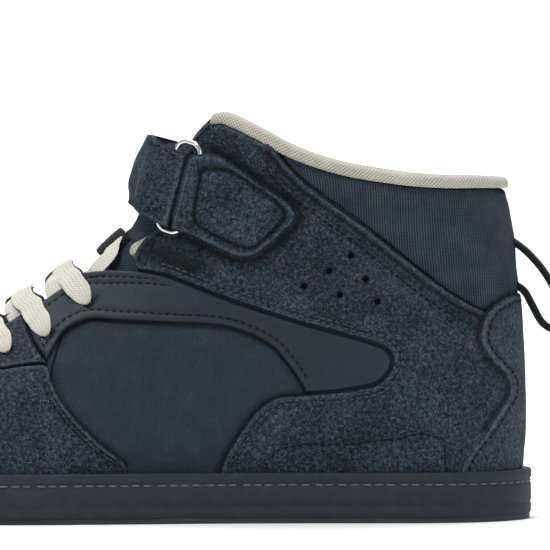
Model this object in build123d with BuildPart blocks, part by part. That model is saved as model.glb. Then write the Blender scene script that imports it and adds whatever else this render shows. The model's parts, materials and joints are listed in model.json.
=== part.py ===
from build123d import *
import os
from math import atan2, cos, hypot, pi, sin, sqrt

# A left mid-top boxing boot. Millimetres, +Z up, ground at Z = 0.
# Toe towards -X, heel towards +X, outer (lateral) side -Y, inner (medial) side +Y.

# ---- driving dimensions -------------------------------------------------------------
OUTSOLE_THICK = 5.0
CUP_TOP = 19.0
CUP_WALL = 3.2
MIDSOLE_TOP = 11.5
UPPER_BOTTOM = 12.0
BOARD_THICK = 1.5
SOCK_THICK = 4.0
FORM_TOP = 166.0
BINDING_HEIGHT = 4.0
EYELET_RADIUS = 2.0
PERFORATION_RADIUS = 1.2
LACE_WIDTH = 9.0
STRAP_WIDTH = 29.0
RING_WIRE = 1.9
RING_LENGTH = 37.0
RING_BARS = 10.6
RING_CORNER = 4.3
RING_HEIGHT = 5.2
BAR_HOLE = 1.3
RING_TILT = 14.6
FOLD_THICK = 5.6
FOLD_WIDTH = 25.6
FOLD_GROOVE = 1.4
HINGE_GAP = 0.35
SIDE_REACH = 90.0
CUP_INSIDE = 2.8
MIDSOLE_GROW = 1.6
BOARD_GROW = -4.6
SOCK_GROW = -4.7
TREAD_DEPTH = 1.4
GROOVE_WIDTH = 2.0
GROOVE_REACH = 44.0
CROSS_GROOVES = (-128, -119, -110, 30, 44, 58, 72, 86, 100, 114)
PIVOT_CENTRE = (-72.0, 2.0)
PIVOT_RINGS = (22.0, 16.0, 10.0)
LACE_END_PLACES = (-8.5, 8.5)
LACE_END_LOW = 112.0
LACE_END_RISE = 26.0
LACE_END_BACK = 20.0
ANCHOR_LENGTH = 14.0
STRAP_END = 50.0
STRAP_FRONT = -40.0
LOOP_WIDTH = 12.0
LOOP_THICK = 3.2
LOOP_PIVOT = (140.5, 98.0)
LOOP_SPLIT = 12.0
GAP = 0.1

# Layers, as distances from the outer face of the textile upper, inwards negative.
LINING = (-4.2, -3.4)
MIDDLE = (-3.2, -1.4)
TEXTILE = (-1.2, 0.0)
OVERLAY = (0.2, 1.5)
HEEL_CAP = (0.2, 1.9)
TONGUE_KNIT = (-5.4, -4.5)
TONGUE_FOAM = (-7.6, -5.6)
TONGUE_INNER = (-8.5, -7.8)
LACE_UNDER = (1.7, 2.7)
LACE_OVER = (2.9, 3.9)
LACE_END = (-2.6, -1.4)
STRAP = (2.0, 4.3)
LOOP_PATCH = (1.7, 2.4)
HOOK_PATCH = (2.8, 3.5)
TAB = (3.7, 5.6)
ANCHOR = (4.5, 5.3)
KEEPER_LAYER = (-4.3, -3.0)

# ---- the foot form: horizontal outlines worked out from these curves -----------------
NOSE = [
    (12, -142), (22, -143), (32, -141), (40, -135), (47, -124), (54, -107), (62, -89), (71, -70),
    (82, -49), (92, -33), (103, -19), (112, -10), (120, -6), (135, -1), (150, 6), (166, 11),
]
HEEL = [
    (12, 141), (22, 142), (40, 143), (63, 142.3), (88, 141), (100, 140), (112, 138.8), (126, 137),
    (140, 134), (166, 131),
]
NOSE_ROUND = [(12, 72), (40, 80), (60, 90), (85, 80), (110, 52), (166, 50)]
HEEL_ROUND = [(12, 38), (90, 40), (130, 50), (166, 52)]
FOOT_LATERAL = [(-143, 42), (-100, 45), (-62, 46.5), (-20, 43), (20, 37), (60, 34), (143, 33)]
FOOT_MEDIAL = [(-143, 44), (-110, 46), (-75, 45), (-35, 39), (5, 31), (45, 30), (90, 32), (143, 33)]
ANKLE = [(12, 31), (90, 30.5), (110, 31.5), (130, 35), (166, 37)]
ANKLE_SHARE = [(12, 0), (30, 0.02), (60, 0.45), (85, 0.85), (100, 1), (166, 1)]
CENTRE = [(-143, 9), (-100, 6), (-50, 0), (143, 0)]
LEVELS = [12, 22, 34, 44, 54, 66, 80, 94, 108, 124, 144, 166]
OUTLINE_POINTS = 24
FLATTEST = 0.35
NUDGE = 1e-3

# ---- side-view outlines (X, Z) -------------------------------------------------------
TOPLINE = [
    (-6, 158), (26, 155.6), (30, 155.9), (44.7, 148.9), (55.3, 143.2), (66, 139), (76.6, 136),
    (87.2, 134.1), (100.9, 132.2), (113.5, 131.4), (126, 131.3), (150, 130.5),
]
THROAT = [
    (-78, 74), (-72, 67), (-66, 68), (-55, 73), (-40, 82), (-24, 93.4), (-13.5, 95.3), (-3, 95.2),
    (-3.6, 102.6), (5.7, 112.4), (12, 130), (18.5, 146), (26, 158), (26, 175), (-90, 175),
]
TONGUE = [(-84, 66), (-66, 60), (-40, 72), (-10, 84), (14, 96), (24, 120), (27, 144), (-30, 152), (-60, 110)]
COLLAR_SEAM = [(46.2, 150), (46.2, 146.3), (56.8, 132.6), (79.3, 115.5), (100.9, 98.4), (128.3, 79.8), (150, 70)]
TOE_EDGE = [
    (-7.8, 10), (-7.8, 22.4), (-15.4, 28.8), (-22.2, 34.9), (-28.7, 41.8), (-33.6, 49), (-36.6, 56.5),
    (-41, 58.3), (-55, 57.5), (-70, 55), (-90, 54), (-120, 53),
]
EYESTAY_TOP = [(-13.5, 95.1), (-2.1, 94.8), (7.4, 93.2), (15.4, 90.2), (32.5, 83.7), (59.5, 75), (78.9, 69.7), (91, 65.3)]
EYESTAY_TIP = [(93, 61.5), (91.8, 57.7), (87.6, 53.5), (78.9, 51.3), (61.8, 49.4)]
EYESTAY_LOW = [
    (59.5, 51.5), (53.8, 60.4), (48.5, 66.5), (42.4, 70.3), (29.5, 74.8), (7.4, 76), (-11.6, 76.7),
    (-21.8, 76.9), (-30.9, 72.5), (-34.7, 66.8), (-37.5, 61.5),
]
EYESTAY_TOE = [(-43.5, 69.5), (-46.5, 78.7), (-48, 90)]
SUEDE_LOW = [(61.2, 48.8), (49.6, 47.4), (41.6, 42.1), (36.7, 35.7), (28.7, 22), (28.7, 10)]
CAP_EDGE = [
    (150, 86.4), (140.8, 86.2), (135.9, 84.9), (129.8, 80.5), (126.8, 74.4), (126.4, 68.7), (129, 63),
    (133.2, 58.1), (136.6, 53.2), (137, 49), (134, 43.3), (128.3, 34.9), (121.8, 26.2), (113, 5),
]
EYELETS = [(-21.9, 82.5), (-37.6, 70.3), (-52.5, 64.2), (-67, 61.8)]
PERFORATIONS = [(77.8, 101.6), (69.5, 95.7), (60, 89.9), (83.4, 92.5), (73.6, 86.6), (87.9, 84)]
RING_CENTRE = (15.0, 127.4)
TAB_OUTLINE = [(24.9, 140.9), (43.5, 128.8), (56.8, 117.8), (56.1, 114.7), (40.9, 101.4), (35.6, 101.4), (12.4, 110.5)]
PATCH_OUTLINE = [(27.5, 132), (50, 118), (48.5, 112), (38, 104), (24, 108)]
KEEPER = [(-17, 103.5), (-11, 108.5), (-6, 107.5), (-4, 103), (-12, 98)]
LOOP_PATH = [
    (138.6, 107.6), (145.8, 102.3), (154.2, 92), (159, 80), (157, 72.5), (152.3, 74.5), (147.6, 82.4),
    (144.8, 87.2), (139.8, 90.6),
]

os.makedirs("parts", exist_ok=True)


def curve(table, t):
    """Value at t of the smooth, never overshooting curve through (t, value) pairs."""
    if t <= table[0][0]:
        return table[0][1]
    if t >= table[-1][0]:
        return table[-1][1]
    rises = [(b[1] - a[1]) / (b[0] - a[0]) for a, b in zip(table, table[1:])]
    slopes = [0.0 if a * b <= 0 else 2 * a * b / (a + b) for a, b in zip(rises, rises[1:])]
    slopes = [rises[0], *slopes, rises[-1]]
    i = max(k for k, pair in enumerate(table) if pair[0] <= t)
    (t0, v0), (t1, v1) = table[i], table[i + 1]
    h = t1 - t0
    s = (t - t0) / h
    near = v0 + s * s * (3 - 2 * s) * (v1 - v0)
    return near + h * s * (1 - s) * ((1 - s) * slopes[i] - s * slopes[i + 1])


def half_width(x, z, lateral):
    """Distance of the form's side from the centre line at X and height Z."""
    front, back = curve(NOSE, z), curve(HEEL, z)
    share = curve(ANKLE_SHARE, z)
    foot = curve(FOOT_LATERAL if lateral else FOOT_MEDIAL, x)
    width = (1 - share) * foot + share * curve(ANKLE, z)
    nose = min(1.0, max(0.0, 1 - (x - front) / curve(NOSE_ROUND, z)))
    heel = min(1.0, max(0.0, 1 - (back - x) / curve(HEEL_ROUND, z)))
    return width * sqrt(1 - nose**2.2) * sqrt(1 - heel**2.2)


def outline_point(u, z):
    """Point of the outline at height Z: u is -1 at the heel, 0 at the nose and 1 at the heel again."""
    u = (u + 1) % 2 - 1
    front, back = curve(NOSE, z), curve(HEEL, z)
    x = front + (back - front) * (1 - cos(pi * abs(u))) / 2
    y = half_width(x, z, u < 0)
    return x, curve(CENTRE, x) + (y if u > 0 else -y)


def grown_outline(z, grow):
    """The outline at height Z moved outwards by grow, and how far it rises where the top slopes."""
    points = []
    for i in range(OUTLINE_POINTS):
        u = -1 + 2 * i / OUTLINE_POINTS
        x, y = outline_point(u, z)
        xa, ya = outline_point(u - NUDGE, z)
        xb, yb = outline_point(u + NUDGE, z)
        length = hypot(xb - xa, yb - ya)
        points.append((x - grow * (yb - ya) / length, y + grow * (xb - xa) / length))
    slope = max(FLATTEST, atan2(2, curve(NOSE, z + 1) - curve(NOSE, z - 1)))
    rise = grow * (1 - sin(slope)) / cos(slope) if z > LEVELS[1] and slope < pi / 2 - NUDGE else 0
    return points, rise


def form(grow):
    """The closed foot form, grown by a distance."""
    with BuildPart() as body:
        for z in LEVELS:
            points, rise = grown_outline(z, grow)
            with BuildSketch(Plane.XY.offset(z + rise)):
                with BuildLine():
                    Spline(*points, periodic=True)
                make_face()
        loft()
    return body.part


FORMS = {}


def cached_form(grow):
    if grow not in FORMS:
        FORMS[grow] = form(grow)
    return FORMS[grow]


def side_prism(points, sides="both"):
    """A prism across the boot from a side-view outline, on one side or on both."""
    with BuildPart() as prism:
        with BuildSketch(Plane.XZ):
            with BuildLine():
                Polyline(*points, close=True)
            make_face()
        extrude(amount=-SIDE_REACH if sides == "medial" else SIDE_REACH, both=sides == "both")
    return prism.part


def write(part, name):
    part.label = name
    export_step(part, f"parts/{name}.step")


def panel(name, layer, region, cuts=(), holes=(), hole_radius=0.0, top=BINDING_HEIGHT):
    """One layer of the upper inside a region, less the parts of it that other regions take."""
    with BuildPart() as piece:
        add(region)
        add(cached_form(layer[1]), mode=Mode.INTERSECT)
        add(cached_form(layer[0]), mode=Mode.SUBTRACT)
        for cut in cuts:
            add(cut, mode=Mode.SUBTRACT)
        if top is not None:
            add(above_topline(top), mode=Mode.SUBTRACT)
        if holes:
            with BuildSketch(Plane.XZ):
                with Locations(*holes):
                    Circle(hole_radius)
            extrude(amount=SIDE_REACH, both=True, mode=Mode.SUBTRACT)
    write(piece.part, name)
    return piece.part


def above_topline(drop):
    """Everything above the collar's top line lowered by a distance."""
    line = [(x, z - drop) for x, z in TOPLINE]
    return side_prism([*line, (150, 200), (-6, 200)])


def box_region(x0, x1, z0, z1):
    return [(x0, z0), (x1, z0), (x1, z1), (x0, z1)]


# Regions shared by several pieces.
THROAT_CUT = side_prism(THROAT)
WHOLE = side_prism(box_region(-170, 170, UPPER_BOTTOM, FORM_TOP))


def shifted(points, dx, dz):
    return [(x + dx, z + dz) for x, z in points]


# ---- sole ----------------------------------------------------------------------------
def footprint(grow):
    return Spline(*grown_outline(UPPER_BOTTOM, grow)[0], periodic=True)


def sole_slab(name, grow, low, thick):
    with BuildPart() as slab:
        with BuildSketch(Plane.XY.offset(low)):
            with BuildLine():
                footprint(grow)
            make_face()
        extrude(amount=thick)
    write(slab.part, name)


with BuildPart() as outsole:
    with BuildSketch():
        with BuildLine():
            footprint(CUP_INSIDE + CUP_WALL)
        make_face()
    extrude(amount=CUP_TOP)
    with BuildSketch(Plane.XY.offset(OUTSOLE_THICK)):
        with BuildLine():
            footprint(CUP_INSIDE)
        make_face()
    extrude(amount=CUP_TOP, mode=Mode.SUBTRACT)
    # concentric pivot grooves under the ball, cross grooves elsewhere
    with BuildSketch():
        with Locations(PIVOT_CENTRE):
            for radius in PIVOT_RINGS:
                Circle(radius + GROOVE_WIDTH / 2)
                Circle(radius - GROOVE_WIDTH / 2, mode=Mode.SUBTRACT)
    extrude(amount=TREAD_DEPTH, mode=Mode.SUBTRACT)
    with BuildSketch():
        with Locations(*[(x, 0) for x in CROSS_GROOVES]):
            Rectangle(GROOVE_WIDTH, GROOVE_REACH)
    extrude(amount=TREAD_DEPTH, mode=Mode.SUBTRACT)
write(outsole.part, "outsole")

sole_slab("midsole", MIDSOLE_GROW, OUTSOLE_THICK, MIDSOLE_TOP - OUTSOLE_THICK)
sole_slab("strobel_board", BOARD_GROW, UPPER_BOTTOM, BOARD_THICK)
sole_slab("sockliner", SOCK_GROW, UPPER_BOTTOM + BOARD_THICK, SOCK_THICK)

# ---- inner layers --------------------------------------------------------------------
panel("lining", LINING, WHOLE, cuts=[THROAT_CUT])
PUFF = side_prism(box_region(-170, -96, UPPER_BOTTOM, 90))
panel("toe_puff", MIDDLE, PUFF, top=None)
COUNTER = side_prism([(84, UPPER_BOTTOM), (170, UPPER_BOTTOM), (170, 62), (128, 70), (96, 50)])
panel("heel_counter", MIDDLE, COUNTER, top=None)
FOAM_LINE = shifted(COLLAR_SEAM, -6, -8)
FOAM = side_prism([*FOAM_LINE, (170, 70), (170, 180), (40, 180)])
panel("collar_foam", MIDDLE, FOAM, cuts=[COUNTER, THROAT_CUT])

# ---- textile upper -------------------------------------------------------------------
VAMP_BACK = [(-22, 5), (-22, 30), (-36, 50), (-30, 120)]
VAMP = side_prism([(-170, 5), *VAMP_BACK, (-30, 180), (-170, 180)])
FRONT_OF_QUARTER = side_prism([(-170, 0), *shifted(VAMP_BACK, GAP, 0), (-30 + GAP, 190), (-170, 190)])
ABOVE_SEAM = side_prism([*COLLAR_SEAM, (170, 70), (170, 190), (46.2, 190)])
ABOVE_SEAM_LOW = side_prism([*shifted(COLLAR_SEAM, -GAP, -GAP), (180, 70), (180, 190), (46.2 - GAP, 190)])
panel("vamp", TEXTILE, VAMP, cuts=[THROAT_CUT], holes=EYELETS, hole_radius=EYELET_RADIUS, top=None)
panel("collar_knit", TEXTILE, ABOVE_SEAM)
HALVES = ("lateral", "medial")


def upper_half(side):
    """Half of the space round the boot, a hair off the centre plane."""
    low = UPPER_BOTTOM
    with BuildPart() as half:
        with BuildSketch(Plane.XZ.offset(GAP / 2 if side == "lateral" else -GAP / 2)):
            with Locations((0, (low + FORM_TOP) / 2)):
                Rectangle(340, FORM_TOP - low)
        extrude(amount=SIDE_REACH if side == "lateral" else -SIDE_REACH)
    return half.part


for side in HALVES:
    panel(
        f"{side}_quarter",
        TEXTILE,
        upper_half(side),
        cuts=[THROAT_CUT, FRONT_OF_QUARTER, ABOVE_SEAM_LOW],
        holes=EYELETS,
        hole_radius=EYELET_RADIUS,
    )

# ---- overlays ------------------------------------------------------------------------
TOE_REGION = side_prism([(-170, UPPER_BOTTOM), (-7.8, UPPER_BOTTOM), *TOE_EDGE[1:], (-170, 53)])
panel("toe_overlay", OVERLAY, TOE_REGION, top=None)
TOE_CUT = side_prism([(-180, 0), (-7.5, 0), *shifted(TOE_EDGE[1:], 0.1, 0.3), (-180, 53.3)])

CAP_REGION = side_prism([(170, 86.4), *CAP_EDGE[1:], (170, 5)])
VAMP_TOP = side_prism([(-170, 5), (-20, 5), (-20, 180), (-170, 180)])
panel("heel_cap", HEEL_CAP, CAP_REGION, top=None)
CAP_CUT = side_prism([(180, 86.8), *shifted(CAP_EDGE[1:], -0.3, 0.3), (180, 0)])

EYESTAY = [*EYESTAY_TOP, *EYESTAY_TIP, *EYESTAY_LOW, *EYESTAY_TOE, (-40, 100), (-24, 99)]
EYESTAY_CUT = side_prism([(0, 61.2), (-38, 61.2), *shifted(EYESTAY_TOE, -0.3, 0), (-48, 120), (0, 120)])
SUEDE = [
    (-6, 95.6), (-2.1, 95.1), (7.4, 93.5), (15.4, 90.5), (32.5, 84), (59.5, 75.3), (78.9, 70), (91.2, 65.6),
    (93.4, 61.5), (92.1, 57.5), (87.8, 53.2), (78.9, 51), (61.8, 49.1), *SUEDE_LOW[:-1], (28.7, UPPER_BOTTOM),
    (150, UPPER_BOTTOM), (150, 65), (128.3, 79.5), (100.9, 98.1), (79.3, 115.2), (56.5, 132.4), (46, 146.3), (46, 170),
    (-6, 170),
]
panel(
    "vamp_overlay", OVERLAY, VAMP_TOP, cuts=[THROAT_CUT, TOE_CUT, EYESTAY_CUT], holes=EYELETS,
    hole_radius=EYELET_RADIUS, top=None,
)
for side in HALVES:
    eyestay = side_prism(EYESTAY, side)
    panel(
        f"{side}_eyestay", OVERLAY, eyestay, cuts=[THROAT_CUT, TOE_REGION], holes=EYELETS,
        hole_radius=EYELET_RADIUS, top=None,
    )
    panel(
        f"{side}_ankle_panel", OVERLAY, side_prism(SUEDE, side), cuts=[THROAT_CUT, CAP_CUT],
        holes=PERFORATIONS, hole_radius=PERFORATION_RADIUS,
    )

# ---- collar binding: the cream roll along the top line --------------------------------
with BuildPart() as binding:
    add(WHOLE)
    add(cached_form(OVERLAY[1]), mode=Mode.INTERSECT)
    add(cached_form(LINING[0]), mode=Mode.SUBTRACT)
    add(above_topline(0), mode=Mode.SUBTRACT)
    add(above_topline(BINDING_HEIGHT - GAP), mode=Mode.INTERSECT)
    add(THROAT_CUT, mode=Mode.SUBTRACT)
write(binding.part, "collar_binding")

# ---- tongue --------------------------------------------------------------------------
TONGUE_REGION = side_prism(TONGUE)
panel("tongue", TONGUE_KNIT, TONGUE_REGION, top=None)
panel("tongue_padding", TONGUE_FOAM, TONGUE_REGION, top=None)
panel("tongue_lining", TONGUE_INNER, TONGUE_REGION, top=None)
panel("lace_keeper", KEEPER_LAYER, side_prism(KEEPER), top=None)


# ---- laces ---------------------------------------------------------------------------
EYELET_ROW = 24.0
THROAT_NORMAL = Vector(-0.6, 0, 0.8)


def crossing(low, high):
    """A slab across the throat from a lateral eyelet to a medial one, one lace wide."""
    (x0, z0), (x1, z1) = low, high
    a = Vector(x0, -EYELET_ROW, z0)
    b = Vector(x1, EYELET_ROW, z1)
    across = (b - a).normalized()
    along = across.cross(THROAT_NORMAL).normalized()
    normal = along.cross(across)
    plane = Plane(origin=(a + b) * 0.5, x_dir=across, z_dir=normal)
    with BuildPart() as slab:
        with BuildSketch(plane.offset(-SIDE_REACH / 3)):
            Rectangle(SIDE_REACH, LACE_WIDTH)
        extrude(amount=SIDE_REACH)
    return slab.part


def over_throat(margin):
    """The space over the eyelet rows, where the laces lie."""
    rows = [(x + margin, z - margin) for x, z in EYELETS]
    return side_prism([(-2, 98), *rows, (-92, 60), (-92, 180), (-2, 180)])


LACE_REGION = over_throat(1.5)


def lace_band(low, high, layer):
    with BuildPart() as band:
        add(crossing(low, high))
        add(LACE_REGION, mode=Mode.INTERSECT)
        add(cached_form(layer[1]), mode=Mode.INTERSECT)
        add(cached_form(layer[0]), mode=Mode.SUBTRACT)
    return band.part


def lace_node(name, pairs, layer):
    with BuildPart() as laces:
        for low, high in pairs:
            add(lace_band(low, high, layer))
    write(laces.part, name)


ROWS = list(zip(EYELETS[1:], EYELETS[:-1]))
lace_node("lace_under_crossings", ROWS, LACE_UNDER)
lace_node("lace_over_crossings", [(high, low) for low, high in ROWS], LACE_OVER)

with BuildPart() as lace_ends:
    for y in LACE_END_PLACES:
        with BuildSketch(Plane.XY.offset(LACE_END_LOW)):
            with Locations((0, y)):
                Rectangle(2 * LACE_END_BACK, LACE_WIDTH)
        extrude(amount=LACE_END_RISE)
    add(cached_form(LACE_END[1]), mode=Mode.INTERSECT)
    add(cached_form(LACE_END[0]), mode=Mode.SUBTRACT)
write(lace_ends.part, "lace_ends")


# ---- ankle strap, ring and tab ---------------------------------------------------------
def ring_plane():
    """Plane of the ring: x along its bars, y towards the heel, z away from the foot."""
    x, z = RING_CENTRE
    step = 1.0

    def side(px, pz):
        return Vector(px, curve(CENTRE, px) - half_width(px, pz, True), pz)

    along_x = side(x + step, z) - side(x - step, z)
    along_z = side(x, z + step) - side(x, z - step)
    normal = along_x.cross(along_z).normalized()
    tilt = RING_TILT * pi / 180
    depth = -(normal.X * sin(tilt) + normal.Z * cos(tilt)) / normal.Y
    bar = Vector(sin(tilt), depth, cos(tilt)).normalized()
    origin = side(x, z) + normal * RING_HEIGHT
    return Plane(origin=origin, x_dir=bar, z_dir=normal)


RING = ring_plane()
BAR_HALF = RING_BARS / 2
TOWARDS_HEEL = RING.y_dir
SECTION = Plane(origin=RING.origin, x_dir=TOWARDS_HEEL, z_dir=RING.x_dir)
RIGHT = 1 if TOWARDS_HEEL.X > 0 else -1
FOLD_RADIUS = FOLD_THICK / 2


def fold(sign):
    """A strap end folded round the bar on one side of the ring."""
    inner = FOLD_GROOVE / 2 + FOLD_RADIUS
    middle = sign * (BAR_HALF + inner) / 2
    with BuildPart() as block:
        with BuildSketch(SECTION.offset(-FOLD_WIDTH / 2)):
            with Locations((middle, 0)):
                SlotCenterToCenter(BAR_HALF - inner, FOLD_THICK)
            with Locations((sign * BAR_HALF, 0)):
                Circle(BAR_HOLE, mode=Mode.SUBTRACT)
        extrude(amount=FOLD_WIDTH)
    return block.part


def bar_rod(sign, radius):
    """A rod along one of the ring's bars."""
    with BuildPart() as rod:
        with BuildSketch(SECTION.offset(-RING_LENGTH)):
            with Locations((sign * BAR_HALF, 0)):
                Circle(radius)
        extrude(amount=2 * RING_LENGTH)
    return rod.part


def strap_slab(x0, x1, sides):
    """The strap's run round the ankle, in the tilted direction of the ring."""
    cx, cz = RING_CENTRE
    tilt = RING_TILT * pi / 180
    corners = []
    for x, half in ((x0, -1), (x1, -1), (x1, 1), (x0, 1)):
        reach = (x - cx) / cos(tilt)
        dx = reach * cos(tilt) + half * STRAP_WIDTH / 2 * sin(tilt)
        dz = -reach * sin(tilt) + half * STRAP_WIDTH / 2 * cos(tilt)
        corners.append((cx + dx, cz + dz))
    return side_prism(corners, sides)


FOLD_JOIN = RING_CENTRE[0] - BAR_HALF * abs(TOWARDS_HEEL.X)

with BuildPart() as front_strap:
    add(strap_slab(STRAP_FRONT, FOLD_JOIN, "lateral"))
    add(strap_slab(STRAP_FRONT, STRAP_END, "medial"))
    add(cached_form(STRAP[1]), mode=Mode.INTERSECT)
    add(cached_form(STRAP[0]), mode=Mode.SUBTRACT)
    add(bar_rod(-RIGHT, FOLD_RADIUS - 0.5), mode=Mode.SUBTRACT)
    add(fold(-RIGHT))
write(front_strap.part, "front_strap")

with BuildPart() as anchor_patch:
    add(strap_slab(STRAP_END - ANCHOR_LENGTH, STRAP_END, "medial"))
    add(cached_form(ANCHOR[1]), mode=Mode.INTERSECT)
    add(cached_form(ANCHOR[0]), mode=Mode.SUBTRACT)
write(anchor_patch.part, "strap_anchor_patch")

with BuildSketch(RING) as ring_outline:
    RectangleRounded(RING_LENGTH - RING_WIRE, RING_BARS, RING_CORNER)
RING_LOOP = ring_outline.sketch.face().outer_wire()

with BuildPart() as strap_ring:
    with BuildSketch(Plane(origin=RING_LOOP @ 0, z_dir=RING_LOOP % 0)):
        Circle(RING_WIRE / 2)
    sweep(path=RING_LOOP)
write(strap_ring.part, "strap_ring")

with BuildPart() as tab_fold:
    add(fold(RIGHT))
write(tab_fold.part, "strap_tab_fold")

with BuildPart() as tab:
    add(side_prism(TAB_OUTLINE, "lateral"))
    add(cached_form(TAB[1]), mode=Mode.INTERSECT)
    add(cached_form(TAB[0]), mode=Mode.SUBTRACT)
    add(bar_rod(RIGHT, FOLD_RADIUS + HINGE_GAP), mode=Mode.SUBTRACT)
write(tab.part, "strap_tab")

PATCH = side_prism(PATCH_OUTLINE, "lateral")
panel("hook_patch", HOOK_PATCH, PATCH, top=None)
panel("loop_patch", LOOP_PATCH, PATCH, top=None)

# ---- heel pull loop --------------------------------------------------------------------
def webbing_loop():
    with BuildPart() as loop:
        with BuildSketch(Plane.XZ.offset(-LOOP_WIDTH / 2)):
            with BuildLine():
                Spline(*LOOP_PATH)
            trace(line_width=LOOP_THICK)
        extrude(amount=LOOP_WIDTH)
        add(cached_form(OVERLAY[0]), mode=Mode.SUBTRACT)
    return loop.part


def pivot_disc(radius):
    with BuildPart() as disc:
        with BuildSketch(Plane.XZ):
            with Locations(LOOP_PIVOT):
                Circle(radius)
        extrude(amount=SIDE_REACH, both=True)
    return disc.part


WEBBING = webbing_loop()
with BuildPart() as loop_base:
    add(WEBBING)
    add(pivot_disc(LOOP_SPLIT - HINGE_GAP), mode=Mode.INTERSECT)
write(loop_base.part, "pull_loop_base")

with BuildPart() as pull_loop:
    add(WEBBING)
    add(pivot_disc(LOOP_SPLIT), mode=Mode.SUBTRACT)
write(pull_loop.part, "pull_loop")

for label, plane_point in (("ring bar", -RIGHT), ("tab bar", RIGHT)):
    place = SECTION.from_local_coords((plane_point * BAR_HALF, 0, 0))
    print(label, place, "axis", RING.x_dir)
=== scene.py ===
import json
import math

import bpy
import numpy as np
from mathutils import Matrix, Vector, kdtree, noise
from mathutils.geometry import delaunay_2d_cdt


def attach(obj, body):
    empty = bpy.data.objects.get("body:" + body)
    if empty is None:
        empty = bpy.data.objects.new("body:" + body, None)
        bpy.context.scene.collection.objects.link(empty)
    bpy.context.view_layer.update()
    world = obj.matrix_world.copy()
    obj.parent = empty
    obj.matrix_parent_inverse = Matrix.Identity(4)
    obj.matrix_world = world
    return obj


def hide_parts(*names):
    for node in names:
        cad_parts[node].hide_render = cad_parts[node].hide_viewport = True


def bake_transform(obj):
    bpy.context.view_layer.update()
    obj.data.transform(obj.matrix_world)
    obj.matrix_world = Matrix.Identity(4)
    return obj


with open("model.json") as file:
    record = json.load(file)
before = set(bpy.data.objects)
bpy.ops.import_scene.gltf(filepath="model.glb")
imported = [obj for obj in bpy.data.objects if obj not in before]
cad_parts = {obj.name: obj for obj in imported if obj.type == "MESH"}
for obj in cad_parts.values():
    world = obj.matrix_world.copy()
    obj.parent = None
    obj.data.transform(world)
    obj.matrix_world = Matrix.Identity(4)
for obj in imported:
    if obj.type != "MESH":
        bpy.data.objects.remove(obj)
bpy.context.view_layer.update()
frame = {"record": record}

# Lengths are in millimetres and turned into metres when a mesh is made.
MM = 0.001
DOMAIN = 400.0          # millimetres that one unit of u stands for when a panel is meshed
NUDGE = 1e-3

# ---- the foot form, the same curves as the CAD model's
UPPER_BOTTOM = 12.0
NOSE = [
    (12, -142), (22, -143), (32, -141), (40, -135), (47, -124), (54, -107), (62, -89), (71, -70),
    (82, -49), (92, -33), (103, -19), (112, -10), (120, -6), (135, -1), (150, 6), (166, 11),
]
HEEL = [
    (12, 141), (22, 142), (40, 143), (63, 142.3), (88, 141), (100, 140), (112, 138.8), (126, 137),
    (140, 134), (166, 131),
]
NOSE_ROUND = [(12, 72), (40, 80), (60, 90), (85, 80), (110, 52), (166, 50)]
HEEL_ROUND = [(12, 38), (90, 40), (130, 50), (166, 52)]
FOOT_LATERAL = [(-143, 42), (-100, 45), (-62, 46.5), (-20, 43), (20, 37), (60, 34), (143, 33)]
FOOT_MEDIAL = [(-143, 44), (-110, 46), (-75, 45), (-35, 39), (5, 31), (45, 30), (90, 32), (143, 33)]
ANKLE = [(12, 31), (90, 30.5), (110, 31.5), (130, 35), (166, 37)]
ANKLE_SHARE = [(12, 0), (30, 0.02), (60, 0.45), (85, 0.85), (100, 1), (166, 1)]
CENTRE = [(-143, 9), (-100, 6), (-50, 0), (143, 0)]
OUTLINE_POWER = 2.2

# ---- side-view outlines (X, Z)
TOPLINE = [
    (26, 155.4), (30, 155.7), (44.7, 148.9), (55.3, 143.2), (66, 139), (76.6, 136),
    (87.2, 134.1), (100.9, 132.2), (113.5, 131.4), (126, 131.3), (138, 131),
]
THROAT_LOW = [(-73.5, 69), (-66, 68), (-55, 73), (-46.2, 78.4)]
THROAT_HIGH = [(-46.2, 78.4), (-40, 82), (-32, 87.8), (-24, 93.2), (-14, 95.1)]
SHAFT_FRONT = [
    (-3, 95.4), (-4.6, 98.5), (-3.6, 102.6), (0.2, 107.6), (5.7, 112.4), (9.5, 120), (12, 130), (18.5, 146),
    (21.9, 150.4), (26, 154.6),
]
LINING_FRONT = [
    (-14, 95.1), (-3, 96), (-5.2, 100.5), (-8.8, 103.6), (-8.4, 106.8), (-3.6, 109.8), (4, 113), (9.4, 120),
    (12, 130), (18.5, 146), (21.9, 150.4), (26, 154.6),
]
COLLAR_SEAM = [
    (46.2, 148), (47.5, 144.4), (56.8, 132.6), (67.5, 124), (79.3, 115.5), (90, 107.2), (100.9, 98.4),
    (115, 87.6), (128.3, 79.8), (141, 73),
]
TOE_EDGE = [
    (-7.8, 12), (-7.8, 22.4), (-15.4, 28.8), (-22.2, 34.9), (-28.7, 41.8), (-33.6, 49), (-36.6, 56.5),
]
TOE_TOP = [(-37.5, 59.5), (-41, 59.6), (-55, 57.5), (-70, 55), (-90, 54), (-107, 53.9)]
EYESTAY_TOP = [
    (-14, 95.1), (-2.1, 94.8), (7.4, 93.2), (15.4, 90.2), (32.5, 83.7), (59.5, 75), (78.9, 69.7), (87, 67.2),
    (91, 65.3), (93, 61.5), (91.8, 57.7), (87.6, 53.5), (78.9, 51.3), (70, 50.1), (60.5, 49.6),
]
EYESTAY_LOW = [
    (60.5, 49.6), (59.2, 52.5), (53.8, 60.4), (48.5, 66.5), (42.4, 70.3), (29.5, 74.8), (7.4, 76),
    (-11.6, 76.7), (-21.8, 76.9), (-30.9, 72.5), (-34.7, 66.8), (-37.9, 61),
]
EYESTAY_TOE = [(-37.9, 61), (-43.5, 69.5), (-46.2, 78.4)]
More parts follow.
